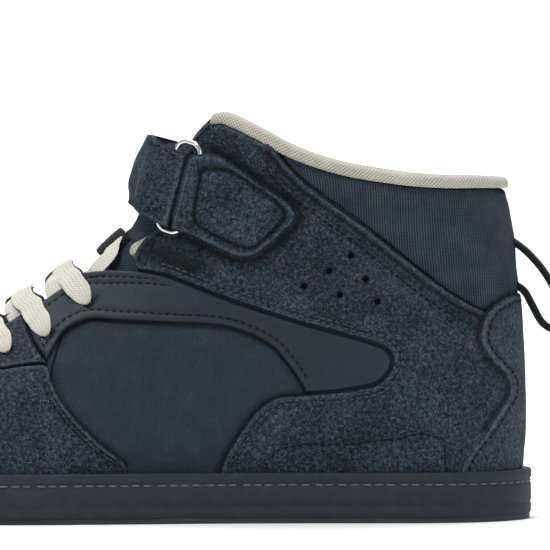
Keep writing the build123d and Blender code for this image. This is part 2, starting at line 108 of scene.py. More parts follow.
SUEDE_TOP = [
    (-3, 95.8), (7.4, 94.2), (15.4, 91.2), (32.5, 84.7), (59.5, 76), (78.9, 70.7), (87.4, 68.2), (92, 65.8),
    (94, 61.5), (92.6, 57.2), (88, 52.6), (78.9, 50.4), (70, 49.2), (60.5, 48.6),
]
SUEDE_LOW = [(60.5, 48.6), (49.6, 47.4), (41.6, 42.1), (36.7, 35.7), (28.7, 22), (27.5, 12)]
CAP_EDGE = [
    (146, 86.5), (140.8, 86.2), (135.9, 84.9), (129.8, 80.5), (126.8, 74.4), (126.4, 68.7), (129, 63),
    (133.2, 58.1), (136.6, 53.2), (137, 49), (134, 43.3), (128.3, 34.9), (121.8, 26.2), (115.5, 12),
]
VAMP_BACK = [(-31.5, 88), (-32, 75), (-36, 50), (-22, 30), (-22, 12)]
POCKET_STITCH = [
    (47.3, 24.3), (48.9, 26.9), (51.5, 28.1), (54.9, 28.8), (61.8, 30), (71.7, 29.6), (78.9, 30),
    (88.4, 31.1), (96, 31.9), (104, 33.8), (109.3, 32.6), (112.7, 31.1), (113.1, 27.7), (113.1, 21.5),
]
EYELETS = [(-21.9, 82.5), (-37.6, 70.3), (-52.5, 64.2), (-67, 61.8)]
EYELET_RADIUS = 1.9
PERFORATIONS = [(77.8, 101.6), (69.5, 95.7), (60, 89.9), (83.4, 92.5), (73.6, 86.6), (87.9, 84)]
PERFORATION_RADIUS = 1.25
TONGUE = [(-84, 66), (-66, 61), (-40, 72), (-10, 84), (14, 96), (23, 118), (27, 136), (25, 142), (18, 145)]
TONGUE_TOP = [(18, 145), (5, 146.6)]
TAB_EDGE = [
    (14.2, 112.2), (17, 109), (24.9, 105.2), (31, 102.4), (35.6, 101), (40.9, 101.6), (48.9, 107.5),
    (56.1, 114.7), (56.8, 117.8), (51.5, 123.5), (43.5, 128.8), (33.7, 135.6), (25.5, 140.3),
]
TAB_PATCH = [
    (21, 134.6), (28.7, 134.4), (32, 133.6), (50.6, 120.6), (52.4, 117.2), (51, 114), (41.5, 105.2),
    (38.4, 104.4), (20.5, 112.6), (18.3, 115.4),
]
HOOK_PATCH = [(32, 130), (48, 119), (50, 116.4), (48.5, 113), (40, 105.6), (37.5, 105), (31, 109)]
LOOP_ROUTE = [
    (138.6, 107.6), (145.8, 102.3), (154.2, 92), (159, 80), (157, 72.5), (152.3, 74.5), (147.6, 82.4),
    (144.8, 87.2), (139.8, 90.6),
]


def curve(table, t):
    """Values at t of the smooth, never overshooting curve through (t, value) pairs."""
    knots, values = np.array(table, float).T
    t = np.clip(np.asarray(t, float), knots[0], knots[-1])
    rises = np.diff(values) / np.diff(knots)
    together = rises[:-1] * rises[1:]
    total = rises[:-1] + rises[1:]
    inner = np.where(together > 0, 2 * together / np.where(total == 0, 1, total), 0)
    slopes = np.concatenate([rises[:1], inner, rises[-1:]])
    i = np.clip(np.searchsorted(knots, t, side="right") - 1, 0, len(knots) - 2)
    h = knots[i + 1] - knots[i]
    s = (t - knots[i]) / h
    near = values[i] + s * s * (3 - 2 * s) * (values[i + 1] - values[i])
    return near + h * s * (1 - s) * ((1 - s) * slopes[i] - s * slopes[i + 1])


def surface(u, z):
    """Points of the form at u (0 nose, 1 heel; negative lateral, positive medial) and height z."""
    u = (np.asarray(u, float) + 1) % 2 - 1
    z = np.asarray(z, float) + 0 * u
    front, back = curve(NOSE, z), curve(HEEL, z)
    x = front + (back - front) * (1 - np.cos(np.pi * np.abs(u))) / 2
    share = curve(ANKLE_SHARE, z)
    foot = np.where(u < 0, curve(FOOT_LATERAL, x), curve(FOOT_MEDIAL, x))
    width = (1 - share) * foot + share * curve(ANKLE, z)
    nose = np.clip(1 - (x - front) / curve(NOSE_ROUND, z), 0, 1)
    heel = np.clip(1 - (back - x) / curve(HEEL_ROUND, z), 0, 1)
    half = width * np.sqrt(1 - nose**OUTLINE_POWER) * np.sqrt(1 - heel**OUTLINE_POWER)
    return np.stack([x, curve(CENTRE, x) + np.where(u > 0, half, -half), z], -1)


def slopes_of(u, z):
    along = (surface(u + NUDGE, z) - surface(u - NUDGE, z)) / (2 * NUDGE)
    up = (surface(u, z + 0.5) - surface(u, z - 0.5))
    return along, up


def unit(vectors):
    return vectors / np.maximum(np.linalg.norm(vectors, axis=-1, keepdims=True), 1e-9)


def normal(u, z):
    along, up = slopes_of(u, z)
    return unit(np.cross(up, along))


def raised(u, z, height):
    """Points at a distance outside the form."""
    return surface(u, z) + np.asarray(height, float)[..., None] * normal(u, z)


def u_at(x, z):
    """How far round the form, 0 nose to 1 heel, a side-view point lies."""
    front, back = curve(NOSE, z), curve(HEEL, z)
    return np.arccos(np.clip(1 - 2 * (x - front) / (back - front), -1, 1)) / np.pi


def smoothstep(low, high, value):
    t = np.clip((np.asarray(value, float) - low) / (high - low), 0, 1)
    return t * t * (3 - 2 * t)


# ---- lines
def run_along(points):
    """The distance along a line at each of its points."""
    return np.concatenate([[0], np.cumsum(np.linalg.norm(np.diff(points, axis=0), axis=1))])


def even(points, step):
    """Points spaced evenly along a line."""
    points = np.asarray(points, float)
    run = run_along(points)
    count = max(2, int(round(run[-1] / step)) + 1)
    at = np.linspace(0, run[-1], count)
    return np.stack([np.interp(at, run, column) for column in points.T], -1)


def spline(points, step=1.0):
    """A smooth line through given points, evenly spaced."""
    p = np.asarray(points, float)
    if len(p) == 2:
        return even(p, step)
    p = np.concatenate([[2 * p[0] - p[1]], p, [2 * p[-1] - p[-2]]])
    knots = np.concatenate([[0], np.cumsum(np.linalg.norm(np.diff(p, axis=0), axis=1) ** 0.5)])
    pieces = []
    for i in range(1, len(p) - 2):
        t = np.linspace(knots[i], knots[i + 1], 12, endpoint=False)[:, None]
        t0, t1, t2, t3 = knots[i - 1:i + 3]
        a = (t1 - t) / (t1 - t0) * p[i - 1] + (t - t0) / (t1 - t0) * p[i]
        b = (t2 - t) / (t2 - t1) * p[i] + (t - t1) / (t2 - t1) * p[i + 1]
        c = (t3 - t) / (t3 - t2) * p[i + 1] + (t - t2) / (t3 - t2) * p[i + 2]
        d = (t2 - t) / (t2 - t0) * a + (t - t0) / (t2 - t0) * b
        e = (t3 - t) / (t3 - t1) * b + (t - t1) / (t3 - t1) * c
        pieces.append((t2 - t) / (t2 - t1) * d + (t - t1) / (t2 - t1) * e)
    pieces.append(p[-2:-1])
    return even(np.concatenate(pieces), step)


def joined(*runs, step=1.0):
    """Smooth runs put end to end, with a corner where two meet."""
    parts = [spline(run, step) for run in runs]
    line = [parts[0]]
    for part in parts[1:]:
        gap = np.linalg.norm(part[0] - line[-1][-1])
        if gap > 1.5 * step:
            line.append(even([line[-1][-1], part[0]], step)[1:-1])
            line.append(part)
        else:
            line.append(part[1:])
    return np.concatenate(line)


def beside(points, distance):
    """A side-view line moved sideways; positive is to the left of its direction."""
    p = np.asarray(points, float)
    along = unit(np.gradient(p, axis=0))
    return p + distance * np.stack([-along[:, 1], along[:, 0]], -1)


def on_side(points, side):
    """Side-view points as (u, z) on one side of the boot: -1 lateral, 1 medial."""
    x, z = np.asarray(points, float).T
    return np.stack([side * u_at(x, z), z], -1)


def round_nose(points):
    """A closed outline from a side-view line that starts and ends on the front ridge."""
    lateral, medial = on_side(points, -1), on_side(points, 1)
    return np.concatenate([lateral, medial[::-1][1:-1]])


def round_heel(points):
    """A closed outline from a side-view line that starts and ends on the back of the heel."""
    lateral, medial = on_side(points, -1), on_side(points, 1)
    lateral[:, 0] += 2
    return np.concatenate([lateral, medial[::-1][1:-1]])


def circle(centre, radius, count=16):
    turn = np.arange(count) * 2 * np.pi / count
    return np.stack([centre[0] + radius * np.cos(turn), centre[1] + radius * np.sin(turn)], -1)


def front_ridge(low, high):
    z = np.arange(low, high, 1.0)
    return np.stack([curve(NOSE, z), z], -1)


# ---- meshes
def make_object(name, points, faces, material, slot, body="root", uv=None, edge=None, dark=None, replaces=()):
    mesh = bpy.data.meshes.new(name)
    mesh.from_pydata((np.asarray(points) * MM).tolist(), [], [list(map(int, f)) for f in faces])
    mesh.polygons.foreach_set("use_smooth", [True] * len(mesh.polygons))
    if uv is not None:
        corner = np.zeros(len(mesh.loops), int)
        mesh.loops.foreach_get("vertex_index", corner)
        layer = mesh.uv_layers.new(name="UVMap")
        layer.data.foreach_set("uv", (np.asarray(uv)[corner] * MM).ravel())
    for label, values in (("edge", edge), ("dark", dark)):
        given = np.full(len(points), 9.0 if label == "edge" else 0.0) if values is None else values
        mesh.attributes.new(name=label, type="FLOAT", domain="POINT").data.foreach_set("value", given)
    mesh.materials.append(material)
    mesh.update()
    obj = bpy.data.objects.new(name, mesh)
    bpy.context.scene.collection.objects.link(obj)
    if body:
        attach(obj, body)
    if replaces:
        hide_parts(*replaces)
    return obj


def inside(points, loop):
    """Which points lie inside a closed outline."""
    x, y = points[:, 0][:, None], points[:, 1][:, None]
    ax, ay = loop[:, 0][None], loop[:, 1][None]
    bx, by = np.roll(ax, -1), np.roll(ay, -1)
    crosses = (ay > y) != (by > y)
    rise = np.where(by == ay, 1, by - ay)
    return (crosses & (x < (bx - ax) * (y - ay) / rise + ax)).sum(1) % 2 == 1


def tree_of(points):
    tree = kdtree.KDTree(len(points))
    for i, point in enumerate(points):
        tree.insert(point, i)
    tree.balance()
    return tree


def distance_to(tree, points):
    return np.array([tree.find(p)[2] for p in points])


def inset_row(loop, depth, inward):
    """A closed outline in (u, z) moved over the surface towards its inside by a depth."""
    u, z = loop[:, 0], loop[:, 1]
    here = surface(u, z)
    tangent = unit(np.roll(here, -1, 0) - np.roll(here, 1, 0))
    step = inward * depth * unit(np.cross(normal(u, z), tangent))
    along, up = slopes_of(u, z)
    aa, ab, bb = (along * along).sum(-1), (along * up).sum(-1), (up * up).sum(-1)
    ra, rb = (along * step).sum(-1), (up * step).sum(-1)
    det = aa * bb - ab * ab
    return np.stack([u + (ra * bb - rb * ab) / det, z + (rb * aa - ra * ab) / det], -1)


def turning(loop):
    """1 for an anticlockwise outline, seen with u to the right and z up, and -1 for the other way."""
    x, y = loop.T
    return 1 if (x * np.roll(y, -1) - np.roll(x, -1) * y).sum() > 0 else -1


def thin_out(points, spacing):
    """Drops points that come nearer to an earlier one than a spacing, in the flat domain."""
    kept, cells = [], {}
    for p in points:
        cell = (int(p[0] // spacing), int(p[1] // spacing))
        close = any(
            (p[0] - q[0]) ** 2 + (p[1] - q[1]) ** 2 < spacing**2
            for i in (-1, 0, 1) for j in (-1, 0, 1) for q in cells.get((cell[0] + i, cell[1] + j), ())
        )
        if not close:
            cells.setdefault(cell, []).append(p)
            kept.append(p)
    return np.array(kept).reshape(-1, 2)


def arc_length(u, z):
    """Distance round the form from the heel, at one height, for laying out fabric."""
    sign = np.where((u + 1) % 2 - 1 < 0, -1, 1)
    flat = np.abs((u + 1) % 2 - 1)
    grid = np.linspace(0, 1, 61)
    levels = np.linspace(10, 166, 27)
    table = []
    for level in levels:
        table.append(run_along(surface(grid, np.full(61, level))))
    table = np.array(table)
    table = table[:, -1:] - table
    i = np.clip((z - levels[0]) / (levels[1] - levels[0]), 0, len(levels) - 1.001)
    j = np.clip(flat * 60, 0, 59.999)
    i0, j0 = i.astype(int), j.astype(int)
    fi, fj = i - i0, j - j0
    low = table[i0, j0] * (1 - fj) + table[i0, j0 + 1] * fj
    high = table[i0 + 1, j0] * (1 - fj) + table[i0 + 1, j0 + 1] * fj
    return sign * (low * (1 - fi) + high * fi)


def panel(name, outline, layer, material, slot, body="root", also=(), grid=1.7, holes=(), roll=0.8,
          grooves=(), puff=0.0, puff_reach=8.0, lift=None, wrinkle=0.18, planar=False, seed=0.0):
    """A sheet of material on the form, with rolled edges, sewn grooves and a closed underside.

    The outline and the holes are closed lines in (u, z). A groove is (line, depth, half width, shade); the shade is
    painted shade along the groove, kept in the 'dark' attribute. The sheet stands for the CAD node of its own name
    and for those in also."""
    loops = [outline, *holes]
    borders = np.concatenate([surface(*loop.T) for loop in loops])
    border_tree = tree_of(borders)
    scale = np.array([DOMAIN, 1.0])
    rows = []
    for index, loop in enumerate(loops):
        inward = turning(loop) * (1 if index == 0 else -1)
        for depth in (0.3 * roll, roll, 1.6 * roll + 0.3):
            row = inset_row(loop, depth, -inward)
            away = distance_to(border_tree, surface(*row.T))
            rows.append(row[away > 0.9 * depth])
    # A groove's shade, the painted darkness along it, is its depth over 0.5 mm unless given.
    grooves = [(*groove, min(1, abs(groove[1]) / 0.5))[:4] for groove in grooves]
    for line, _, half, _ in grooves:
        for shift in (-1.0, 0.0, 1.0):
            here = surface(*line.T)
            along, up = slopes_of(*line.T)
            tangent = unit(np.gradient(here, axis=0))
            step = shift * half * np.cross(normal(*line.T), tangent)
            du = (along * step).sum(-1) / (along * along).sum(-1)
            rows.append(np.stack([line[:, 0] + du, line[:, 1] + step[:, 2]], -1))
    low, high = outline.min(0), outline.max(0)
    columns = np.arange(low[0], high[0], grid / DOMAIN)
    heights = np.arange(low[1], high[1], grid * 0.87)
    field = np.array([
        (c + (k % 2) * grid / DOMAIN / 2, h) for k, h in enumerate(heights) for c in columns
    ])
    field = field[inside(field * scale, outline * scale)]
    away = distance_to(border_tree, surface(*field.T))
    field = field[away > 1.6 * roll + 0.3 + 0.45 * grid]
    if grooves:
        lines = np.concatenate([surface(*groove[0].T) for groove in grooves])
        groove_tree = tree_of(lines)
        near = distance_to(groove_tree, surface(*field.T))
        field = field[near > 0.7 * grid + 0.3]
    steiner = np.concatenate([*rows, field])
    keep = inside(steiner * scale, outline * scale)
    for hole in holes:
        keep &= ~inside(steiner * scale, hole * scale)
    steiner = thin_out(steiner[keep] * scale, 0.16) / scale
    seeds, edges = [], []
    for loop in loops:
        first = sum(len(s) for s in seeds)
        seeds.append(loop)
        edges += [(first + i, first + (i + 1) % len(loop)) for i in range(len(loop))]
    border_count = sum(len(s) for s in seeds)
    flat = np.concatenate([*seeds, steiner]) * scale
    verts, _, faces, origin, _, _ = delaunay_2d_cdt([Vector(p) for p in flat], edges, [], 0, 1e-4)
    verts = np.array([tuple(v) for v in verts])
    faces = np.array(faces)
    middle = verts[faces].mean(1)
    good = inside(middle, outline * scale)
    for hole in holes:
        good &= ~inside(middle, hole * scale)
    faces = faces[good]
    used = np.unique(faces)
    renumber = np.full(len(verts), -1)
    renumber[used] = np.arange(len(used))
    faces = renumber[faces]
    on_border = np.array([any(o < border_count for o in origin[i]) for i in used])
    uz = verts[used] / scale
    u, z = uz.T
    here = surface(u, z)
    edge = np.where(on_border, 0.0, distance_to(border_tree, here))
    thick = layer[1] - layer[0]
    radius = min(roll, thick)
    drop = radius * (1 - np.sqrt(1 - np.clip(1 - edge / roll, 0, 1) ** 2))
    bulge = puff * (1 - np.exp(-edge / puff_reach))
    wave = np.array([noise.noise(Vector(p) / 9.0 + Vector((seed, 0, 0))) for p in here])
    fine = np.array([noise.noise(Vector(p) / 3.1 + Vector((seed, 7, 0))) for p in here])
    top = layer[1] - drop + bulge + wrinkle * (wave + 0.35 * fine) * smoothstep(0, 3, edge)
    # Painted shade along the grooves, carried to the colour by the 'dark' attribute.
    dark = np.zeros(len(u))
    for line, depth, half, shade in grooves:
        gap = distance_to(tree_of(surface(*line.T)), here)
        dip = np.exp(-((gap / half) ** 2))
        top -= depth * dip
        dark = np.maximum(dark, dip * shade)
    rise = 0.0 if lift is None else lift(here, normal(u, z))
    rim = edge if not holes else np.maximum(edge, distance_to(tree_of(surface(*outline.T)), here))
    outer = raised(u, z, top + rise)
    inner = raised(u, z, layer[0] + 0.0 * u + rise)
    count = len(u)
    back = faces[:, ::-1] + count
    corner = outer[faces]
    face_normal = np.cross(corner[:, 1] - corner[:, 0], corner[:, 2] - corner[:, 0])
    facing = (face_normal * normal(u[faces[:, 0]], z[faces[:, 0]])).sum(-1).mean()
    if facing < 0:
        faces, back = faces[:, ::-1], back[:, ::-1]
    pairs = np.concatenate([faces[:, [0, 1]], faces[:, [1, 2]], faces[:, [2, 0]]])
    known = {tuple(p) for p in pairs.tolist()}
    walls = [(b, a, a + count, b + count) for a, b in known if (b, a) not in known]
    length = here[:, 0] if planar else arc_length(u, z)
    uv = np.stack([length, z], -1)
    return make_object(
        name, np.concatenate([outer, inner]), [*faces.tolist(), *back.tolist(), *walls], material, slot, body,
        uv=np.concatenate([uv, uv]), edge=np.concatenate([rim, rim]),
        dark=np.concatenate([dark, dark]), replaces=[name, *also],
    )


class Pile:
    """Points and faces of many small pieces, made into one object."""

    def __init__(self):
        self.points, self.faces, self.count = [], [], 0

    def add(self, points, faces):
        self.points.append(points)
        self.faces += [[i + self.count for i in face] for face in faces]
        self.count += len(points)

    def object(self, name, material, slot, body="root", **more):
        return make_object(name, np.concatenate(self.points), self.faces, material, slot, body, **more)


def tube_faces(rings, around, closed_ends=True, cyclic=False):
    faces = []
    for i in range(rings if cyclic else rings - 1):
        for j in range(around):
            a, b = i * around + j, i * around + (j + 1) % around
            c, d = ((i + 1) % rings) * around + (j + 1) % around, ((i + 1) % rings) * around + j
            faces.append((a, b, c, d))
    if closed_ends and not cyclic:
        faces.append(tuple(range(around))[::-1])
        faces.append(tuple((rings - 1) * around + j for j in range(around)))
    return faces


STITCH_SIDES = 6
STITCH_RINGS = (    # share of the length, share of the radius, height
    (-0.5, 0.35, -0.28), (-0.36, 0.95, 0.0), (0.0, 1.0, 0.08), (0.36, 0.95, 0.0), (0.5, 0.35, -0.28),
)
STITCH_FACES = tube_faces(len(STITCH_RINGS), STITCH_SIDES)


def stitch(at, along, across, out, length, wide, thick):
    """One bent thread that dives in at its ends."""
    turn = np.arange(STITCH_SIDES) * 2 * np.pi / STITCH_SIDES
    return np.array([
        at + t * length * along + (sink + thick * size * np.sin(a)) * out + wide * size * np.cos(a) * across
        for t, size, sink in STITCH_RINGS for a in turn
    ])


def sew(pile, line, height, length=1.9, gap=1.0, radius=0.36, lift=None):
    """A row of stitches along a (u, z) line."""
    run = run_along(surface(*line.T))
    place = length / 2 + gap / 2
    while place < run[-1] - length / 2:
        start, middle, end = [
            np.array([np.interp(place + t * length, run, line[:, k]) for k in (0, 1)]) for t in (-0.5, 0, 0.5)
        ]
        out, at = normal(*middle), surface(*middle)
        rise = 0.0 if lift is None else float(lift(at[None], out[None])[0])
        along = unit(surface(*end) - surface(*start))
        across = np.cross(out, along)
        pile.add(stitch(at + (height + rise) * out, along, across, out, length, radius, 0.8 * radius), STITCH_FACES)
        place += length + gap


def ribbon(name, path, across, width, thick, material, slot, body="root", ribs=0, rib_depth=0.0, narrow=None,
           replaces=(), across_points=13):
    """A flat woven band swept along a path, with ribs along its length and soft edges."""
    path = np.asarray(path, float)
    along = unit(np.gradient(path, axis=0))
    across = unit(across - (across * along).sum(-1, keepdims=True) * along)
    out = np.cross(across, along)
    widths = np.full(len(path), width) if narrow is None else width * narrow
    side = np.linspace(-1, 1, across_points)
    profile = thick / 2 * np.sqrt(np.clip(1 - np.abs(side) ** 4, 0.02, 1))
    if ribs:
        profile = profile - rib_depth * (0.5 + 0.5 * np.cos(side * np.pi * ribs)) * (np.abs(side) < 0.93)
    loop = np.concatenate([
        np.stack([side, profile], -1), np.stack([side[::-1], -profile[::-1]], -1)
    ])
    points, uv = [], []
    run = run_along(path)
    for i, at in enumerate(path):
        points.append(at + loop[:, :1] * widths[i] / 2 * across[i] + loop[:, 1:] * out[i])
        uv.append(np.stack([loop[:, 0] * width / 2, np.full(len(loop), run[i])], -1))
    return make_object(
        name, np.concatenate(points), tube_faces(len(path), len(loop)), material, slot, body,
        uv=np.concatenate(uv), replaces=replaces,
    )


# ---- materials
def linear(*srgb):
    """A linear colour from 0 to 255 screen values."""
    return tuple(((v / 255 + 0.055) / 1.055) ** 2.4 if v > 10 else v / 255 / 12.92 for v in srgb) + (1.0,)


class Shader:
    """A material under construction: a Principled BSDF and short calls that add nodes to it."""

    def __init__(self, name, **sockets):
        self.material = bpy.data.materials.new(name)
        self.material.use_nodes = True
        self.tree = self.material.node_tree
        self.shader = self.tree.nodes["Principled BSDF"]
        for socket, value in sockets.items():
            self.shader.inputs[socket.replace("_", " ")].default_value = value
        self.object = self.tree.nodes.new("ShaderNodeTexCoord").outputs["Object"]

    def node(self, kind, inputs=(), **properties):
        made = self.tree.nodes.new(kind)
        for key, value in properties.items():
            setattr(made, key, value)
        for key, value in dict(inputs).items():
            if isinstance(value, bpy.types.NodeSocket):
                self.tree.links.new(value, made.inputs[key])
            else:
                made.inputs[key].default_value = value
        return made

    def math(self, operation, a, b=0.0, c=0.0):
        return self.node("ShaderNodeMath", {0: a, 1: b, 2: c}, operation=operation).outputs[0]

    def noise(self, scale, detail=3.0, roughness=0.55, distortion=0.0, vector=None):
        return self.node("ShaderNodeTexNoise", {
            "Vector": vector or self.object, "Scale": scale, "Detail": detail, "Roughness": roughness,
            "Distortion": distortion,
        }).outputs["Fac"]

    def voronoi(self, scale, vector=None):
        place = {"Vector": vector or self.object, "Scale": scale}
        return self.node("ShaderNodeTexVoronoi", place).outputs["Distance"]

    def attribute(self, name):
        return self.node("ShaderNodeAttribute", attribute_name=name).outputs["Fac"]

    def uv(self):
        """U and V in metres."""
        place = self.node("ShaderNodeUVMap", uv_map="UVMap").outputs["UV"]
        split = self.node("ShaderNodeSeparateXYZ", {0: place})
        return split.outputs[0], split.outputs[1]

    def ramp(self, value, stops):
        made = self.node("ShaderNodeValToRGB", {0: value})
        ramp = made.color_ramp
        while len(ramp.elements) < len(stops):
            ramp.elements.new(0.5)
        for element, (position, colour) in zip(ramp.elements, stops):
            element.position = position
            element.color = colour
        return made.outputs[0]

    def mix(self, share, a, b, blend="MIX"):
        made = self.node("ShaderNodeMix", data_type="RGBA", blend_type=blend)
        for index, value in ((0, share), (6, a), (7, b)):
            if isinstance(value, bpy.types.NodeSocket):
                self.tree.links.new(value, made.inputs[index])
            else:
                made.inputs[index].default_value = value
        return made.outputs[2]

    def colour(self, socket):
        self.tree.links.new(socket, self.shader.inputs["Base Color"])

    def rough(self, value, low, high):
        spread = self.node("ShaderNodeMapRange", {0: value, 3: low, 4: high}).outputs[0]
        self.tree.links.new(spread, self.shader.inputs["Roughness"])

    def bump(self, height, distance, strength=1.0):
        made = self.node("ShaderNodeBump", {"Height": height, "Distance": distance, "Strength": strength})
        self.tree.links.new(made.outputs[0], self.shader.inputs["Normal"])

    def weighted(self, *pairs):
        total = None
        for value, weight in pairs:
            part = self.math("MULTIPLY", value, weight)
            total = part if total is None else self.math("ADD", total, part)
        return total

    def step(self, value, low, high, start=0.0, end=1.0):
        return self.node("ShaderNodeMapRange", {0: value, 1: low, 2: high, 3: start, 4: end}).outputs[0]

    def worn_rim_and_painted_shade(self, colour, cut, deep):
        """Lightens the rubbed rim just inside an edge with a speckle of the cut colour, and paints shade in the
        deep colour on the cut edge and wherever the 'dark' attribute says: along sewn grooves and painted shadow
        lines.
        """
        edge = self.attribute("edge")
        rim = self.math("MULTIPLY", self.step(edge, 0.5, 1.0), self.step(edge, 1.3, 2.3, 1.0, 0.0))
        speckle = self.math("MULTIPLY", rim, self.step(self.noise(1300, 3.0, 0.7), 0.42, 0.72, 0.0, 0.75))
        colour = self.mix(speckle, colour, cut)
        # Painted shade: darkness at the cut edge stands for the shadow gap at an edge, and 'dark' holds painted
        # shade along grooves and shadow lines.
        shade = self.math("MAXIMUM", self.step(edge, 0.1, 0.7, 1.0, 0.0), self.attribute("dark"))
        return self.mix(self.math("MULTIPLY", shade, 0.85), colour, deep)


# The colour that painted shade goes to, at cut edges and along grooves and shadow lines.
BLACK = linear(7, 8, 10)


def suede(name, deep, dark, middle, light, cut):
    s = Shader(name, Sheen_Weight=0.25, Sheen_Roughness=0.45, Specular_IOR_Level=0.18)
    s.shader.inputs["Sheen Tint"].default_value = middle
    mottle = s.weighted(
        (s.noise(70, 3.0, 0.6), 0.12), (s.noise(820, 4.0, 0.75, 0.5), 0.5), (s.noise(2100, 3.0, 0.75), 0.38)
    )
    colour = s.ramp(mottle, [(0.40, deep), (0.46, dark), (0.515, middle), (0.59, light)])
    s.colour(s.worn_rim_and_painted_shade(colour, cut, BLACK))
    s.rough(mottle, 0.97, 0.8)
    height = s.weighted((s.noise(820, 4.0, 0.75, 0.5), 0.5), (s.noise(2600, 3.0, 0.7), 0.5))
    s.bump(height, 0.00075)
    return s.material


def leather(name, dark, middle, light):
    s = Shader(name, Specular_IOR_Level=0.25, Coat_Weight=0.04, Coat_Roughness=0.5)
    tone = s.weighted((s.noise(35, 3.0), 0.5), (s.noise(500, 3.0, 0.6), 0.3), (s.noise(4000, 2.0), 0.2))
    s.colour(s.worn_rim_and_painted_shade(s.ramp(tone, [(0.36, dark), (0.5, middle), (0.66, light)]), light, BLACK))
    grain = s.weighted((s.voronoi(1500), 0.6), (s.noise(2600, 3.0), 0.4))
    s.rough(tone, 0.5, 0.66)
    s.bump(grain, 0.00011)
    return s.material


def knit(name, dark, middle, light, pitch, course, depth, lean=0.0, fuzz=0.25):
    """Fine ribs along V, broken up into single stitches; lean tilts them."""
    s = Shader(name, Sheen_Weight=0.15, Sheen_Roughness=0.5, Specular_IOR_Level=0.15)
    s.shader.inputs["Sheen Tint"].default_value = light
    u, v = s.uv()
    u = s.math("ADD", u, s.math("MULTIPLY", v, lean))
    wobble = s.math("MULTIPLY", s.noise(300, 2.0), 0.0004)
    rib = s.math("ABSOLUTE", s.math("SINE", s.math("MULTIPLY", s.math("ADD", u, wobble), math.pi / pitch)))
    stitch = s.math("SINE", s.math("MULTIPLY", v, 2 * math.pi / course))
    height = s.math("MULTIPLY", rib, s.math("MULTIPLY_ADD", stitch, 0.22, 0.78))
    tone = s.weighted((height, 0.7 - fuzz), (s.noise(120, 3.0), 0.3), (s.noise(1500, 3.0, 0.7), fuzz))
    s.colour(s.worn_rim_and_painted_shade(s.ramp(tone, [(0.25, dark), (0.5, middle), (0.72, light)]), middle, BLACK))
    s.rough(tone, 0.95, 0.78)
    s.bump(height, depth)
    return s.material


def weave(name, dark, light, pitch, depth, rough=0.8, sheen=0.2):
    """A plain weave from two crossing sets of yarns."""
    s = Shader(name, Sheen_Weight=sheen, Specular_IOR_Level=0.25)
    u, v = s.uv()
    warp = s.math("SINE", s.math("MULTIPLY", u, math.pi / pitch))
    weft = s.math("SINE", s.math("MULTIPLY", v, math.pi / pitch))
    height = s.math("MULTIPLY_ADD", s.math("MULTIPLY", warp, weft), 0.5, 0.5)
    tone = s.weighted((height, 0.5), (s.noise(150, 3.0), 0.25), (s.noise(2500, 2.0), 0.25))
    s.colour(s.worn_rim_and_painted_shade(s.ramp(tone, [(0.2, dark), (0.7, light)]), dark, dark))
    s.rough(tone, rough, rough - 0.12)
    s.bump(height, depth)
    return s.material


def grain(name, dark, light, scale, depth, rough, metallic=0.0, specular=0.5):
    """A plain material with fine grain from its own coordinates."""
    s = Shader(name, Metallic=metallic, Specular_IOR_Level=specular)
    tone = s.weighted((s.noise(scale * 0.1, 3.0), 0.5), (s.noise(scale, 4.0, 0.7), 0.5))
    s.colour(s.ramp(tone, [(0.35, dark), (0.65, light)]))
    s.rough(tone, rough * 0.85, min(1.0, rough * 1.15))
    s.bump(s.noise(scale, 4.0, 0.7), depth)
    return s.material


SUEDE = suede("suede", linear(9, 12, 16), linear(22, 28, 34), linear(39, 48, 57), linear(70, 83, 95),
              linear(96, 108, 118))
SUEDE_CAP = suede("suede_heel", linear(19, 23, 27), linear(36, 43, 50), linear(53, 62, 71),
                  linear(82, 93, 103), linear(96, 108, 118))
LEATHER = leather("smooth_leather", linear(20, 28, 36), linear(25, 34, 43), linear(31, 41, 50))
QUARTER_KNIT = knit("quarter_knit", linear(25, 33, 40), linear(36, 45, 53), linear(50, 60, 69),
                    0.0011, 0.0009, 0.00008, fuzz=0.6)
COLLAR_KNIT = knit("collar_knit", linear(20, 26, 33), linear(38, 47, 55), linear(62, 73, 82),
                   0.0010, 0.0009, 0.0003)
TONGUE_KNIT = knit("tongue_knit", linear(16, 21, 26), linear(44, 54, 63), linear(64, 75, 86),
                   0.0013, 0.0011, 0.0006, lean=-0.7)
CREAM_MESH = weave("cream_mesh", linear(108, 105, 94), linear(190, 187, 174), 0.0007, 0.0003, 0.85)
LINING_MESH = weave("cream_lining", linear(128, 124, 112), linear(186, 182, 168), 0.0011, 0.0003, 0.88)
LACE = weave("lace_weave", linear(146, 143, 132), linear(204, 201, 190), 0.0006, 0.00018, 0.8)
WEBBING = weave("black_webbing", linear(4, 5, 6), linear(17, 19, 21), 0.0009, 0.0003, 0.9, sheen=0.03)
PILE = weave("hook_and_loop", linear(6, 7, 8), linear(34, 37, 41), 0.0008, 0.0006, 0.95)
THREAD = grain("navy_thread", linear(8, 10, 12), linear(17, 20, 24), 3000, 0.0001, 0.8, specular=0.15)
PALE_THREAD = grain("pale_thread", linear(38, 45, 52), linear(70, 80, 90), 1500, 0.0001, 0.8, specular=0.15)
SOLE_THREAD = grain("sole_thread", linear(58, 66, 74), linear(84, 92, 100), 3000, 0.0001, 0.6)
METAL = grain("polished_metal", linear(205, 204, 200), linear(232, 232, 230), 900, 0.00002, 0.17,
              metallic=1.0)
RUBBER = grain("sole_rubber", linear(30, 35, 41), linear(46, 52, 60), 1400, 0.00012, 0.62, specular=0.35)
BAND_RUBBER = grain("foxing_rubber", linear(24, 28, 33), linear(40, 46, 53), 2200, 0.0002, 0.7, specular=0.3)
FOAM = grain("foam", linear(200, 196, 176), linear(226, 222, 204), 1800, 0.0003, 0.95)
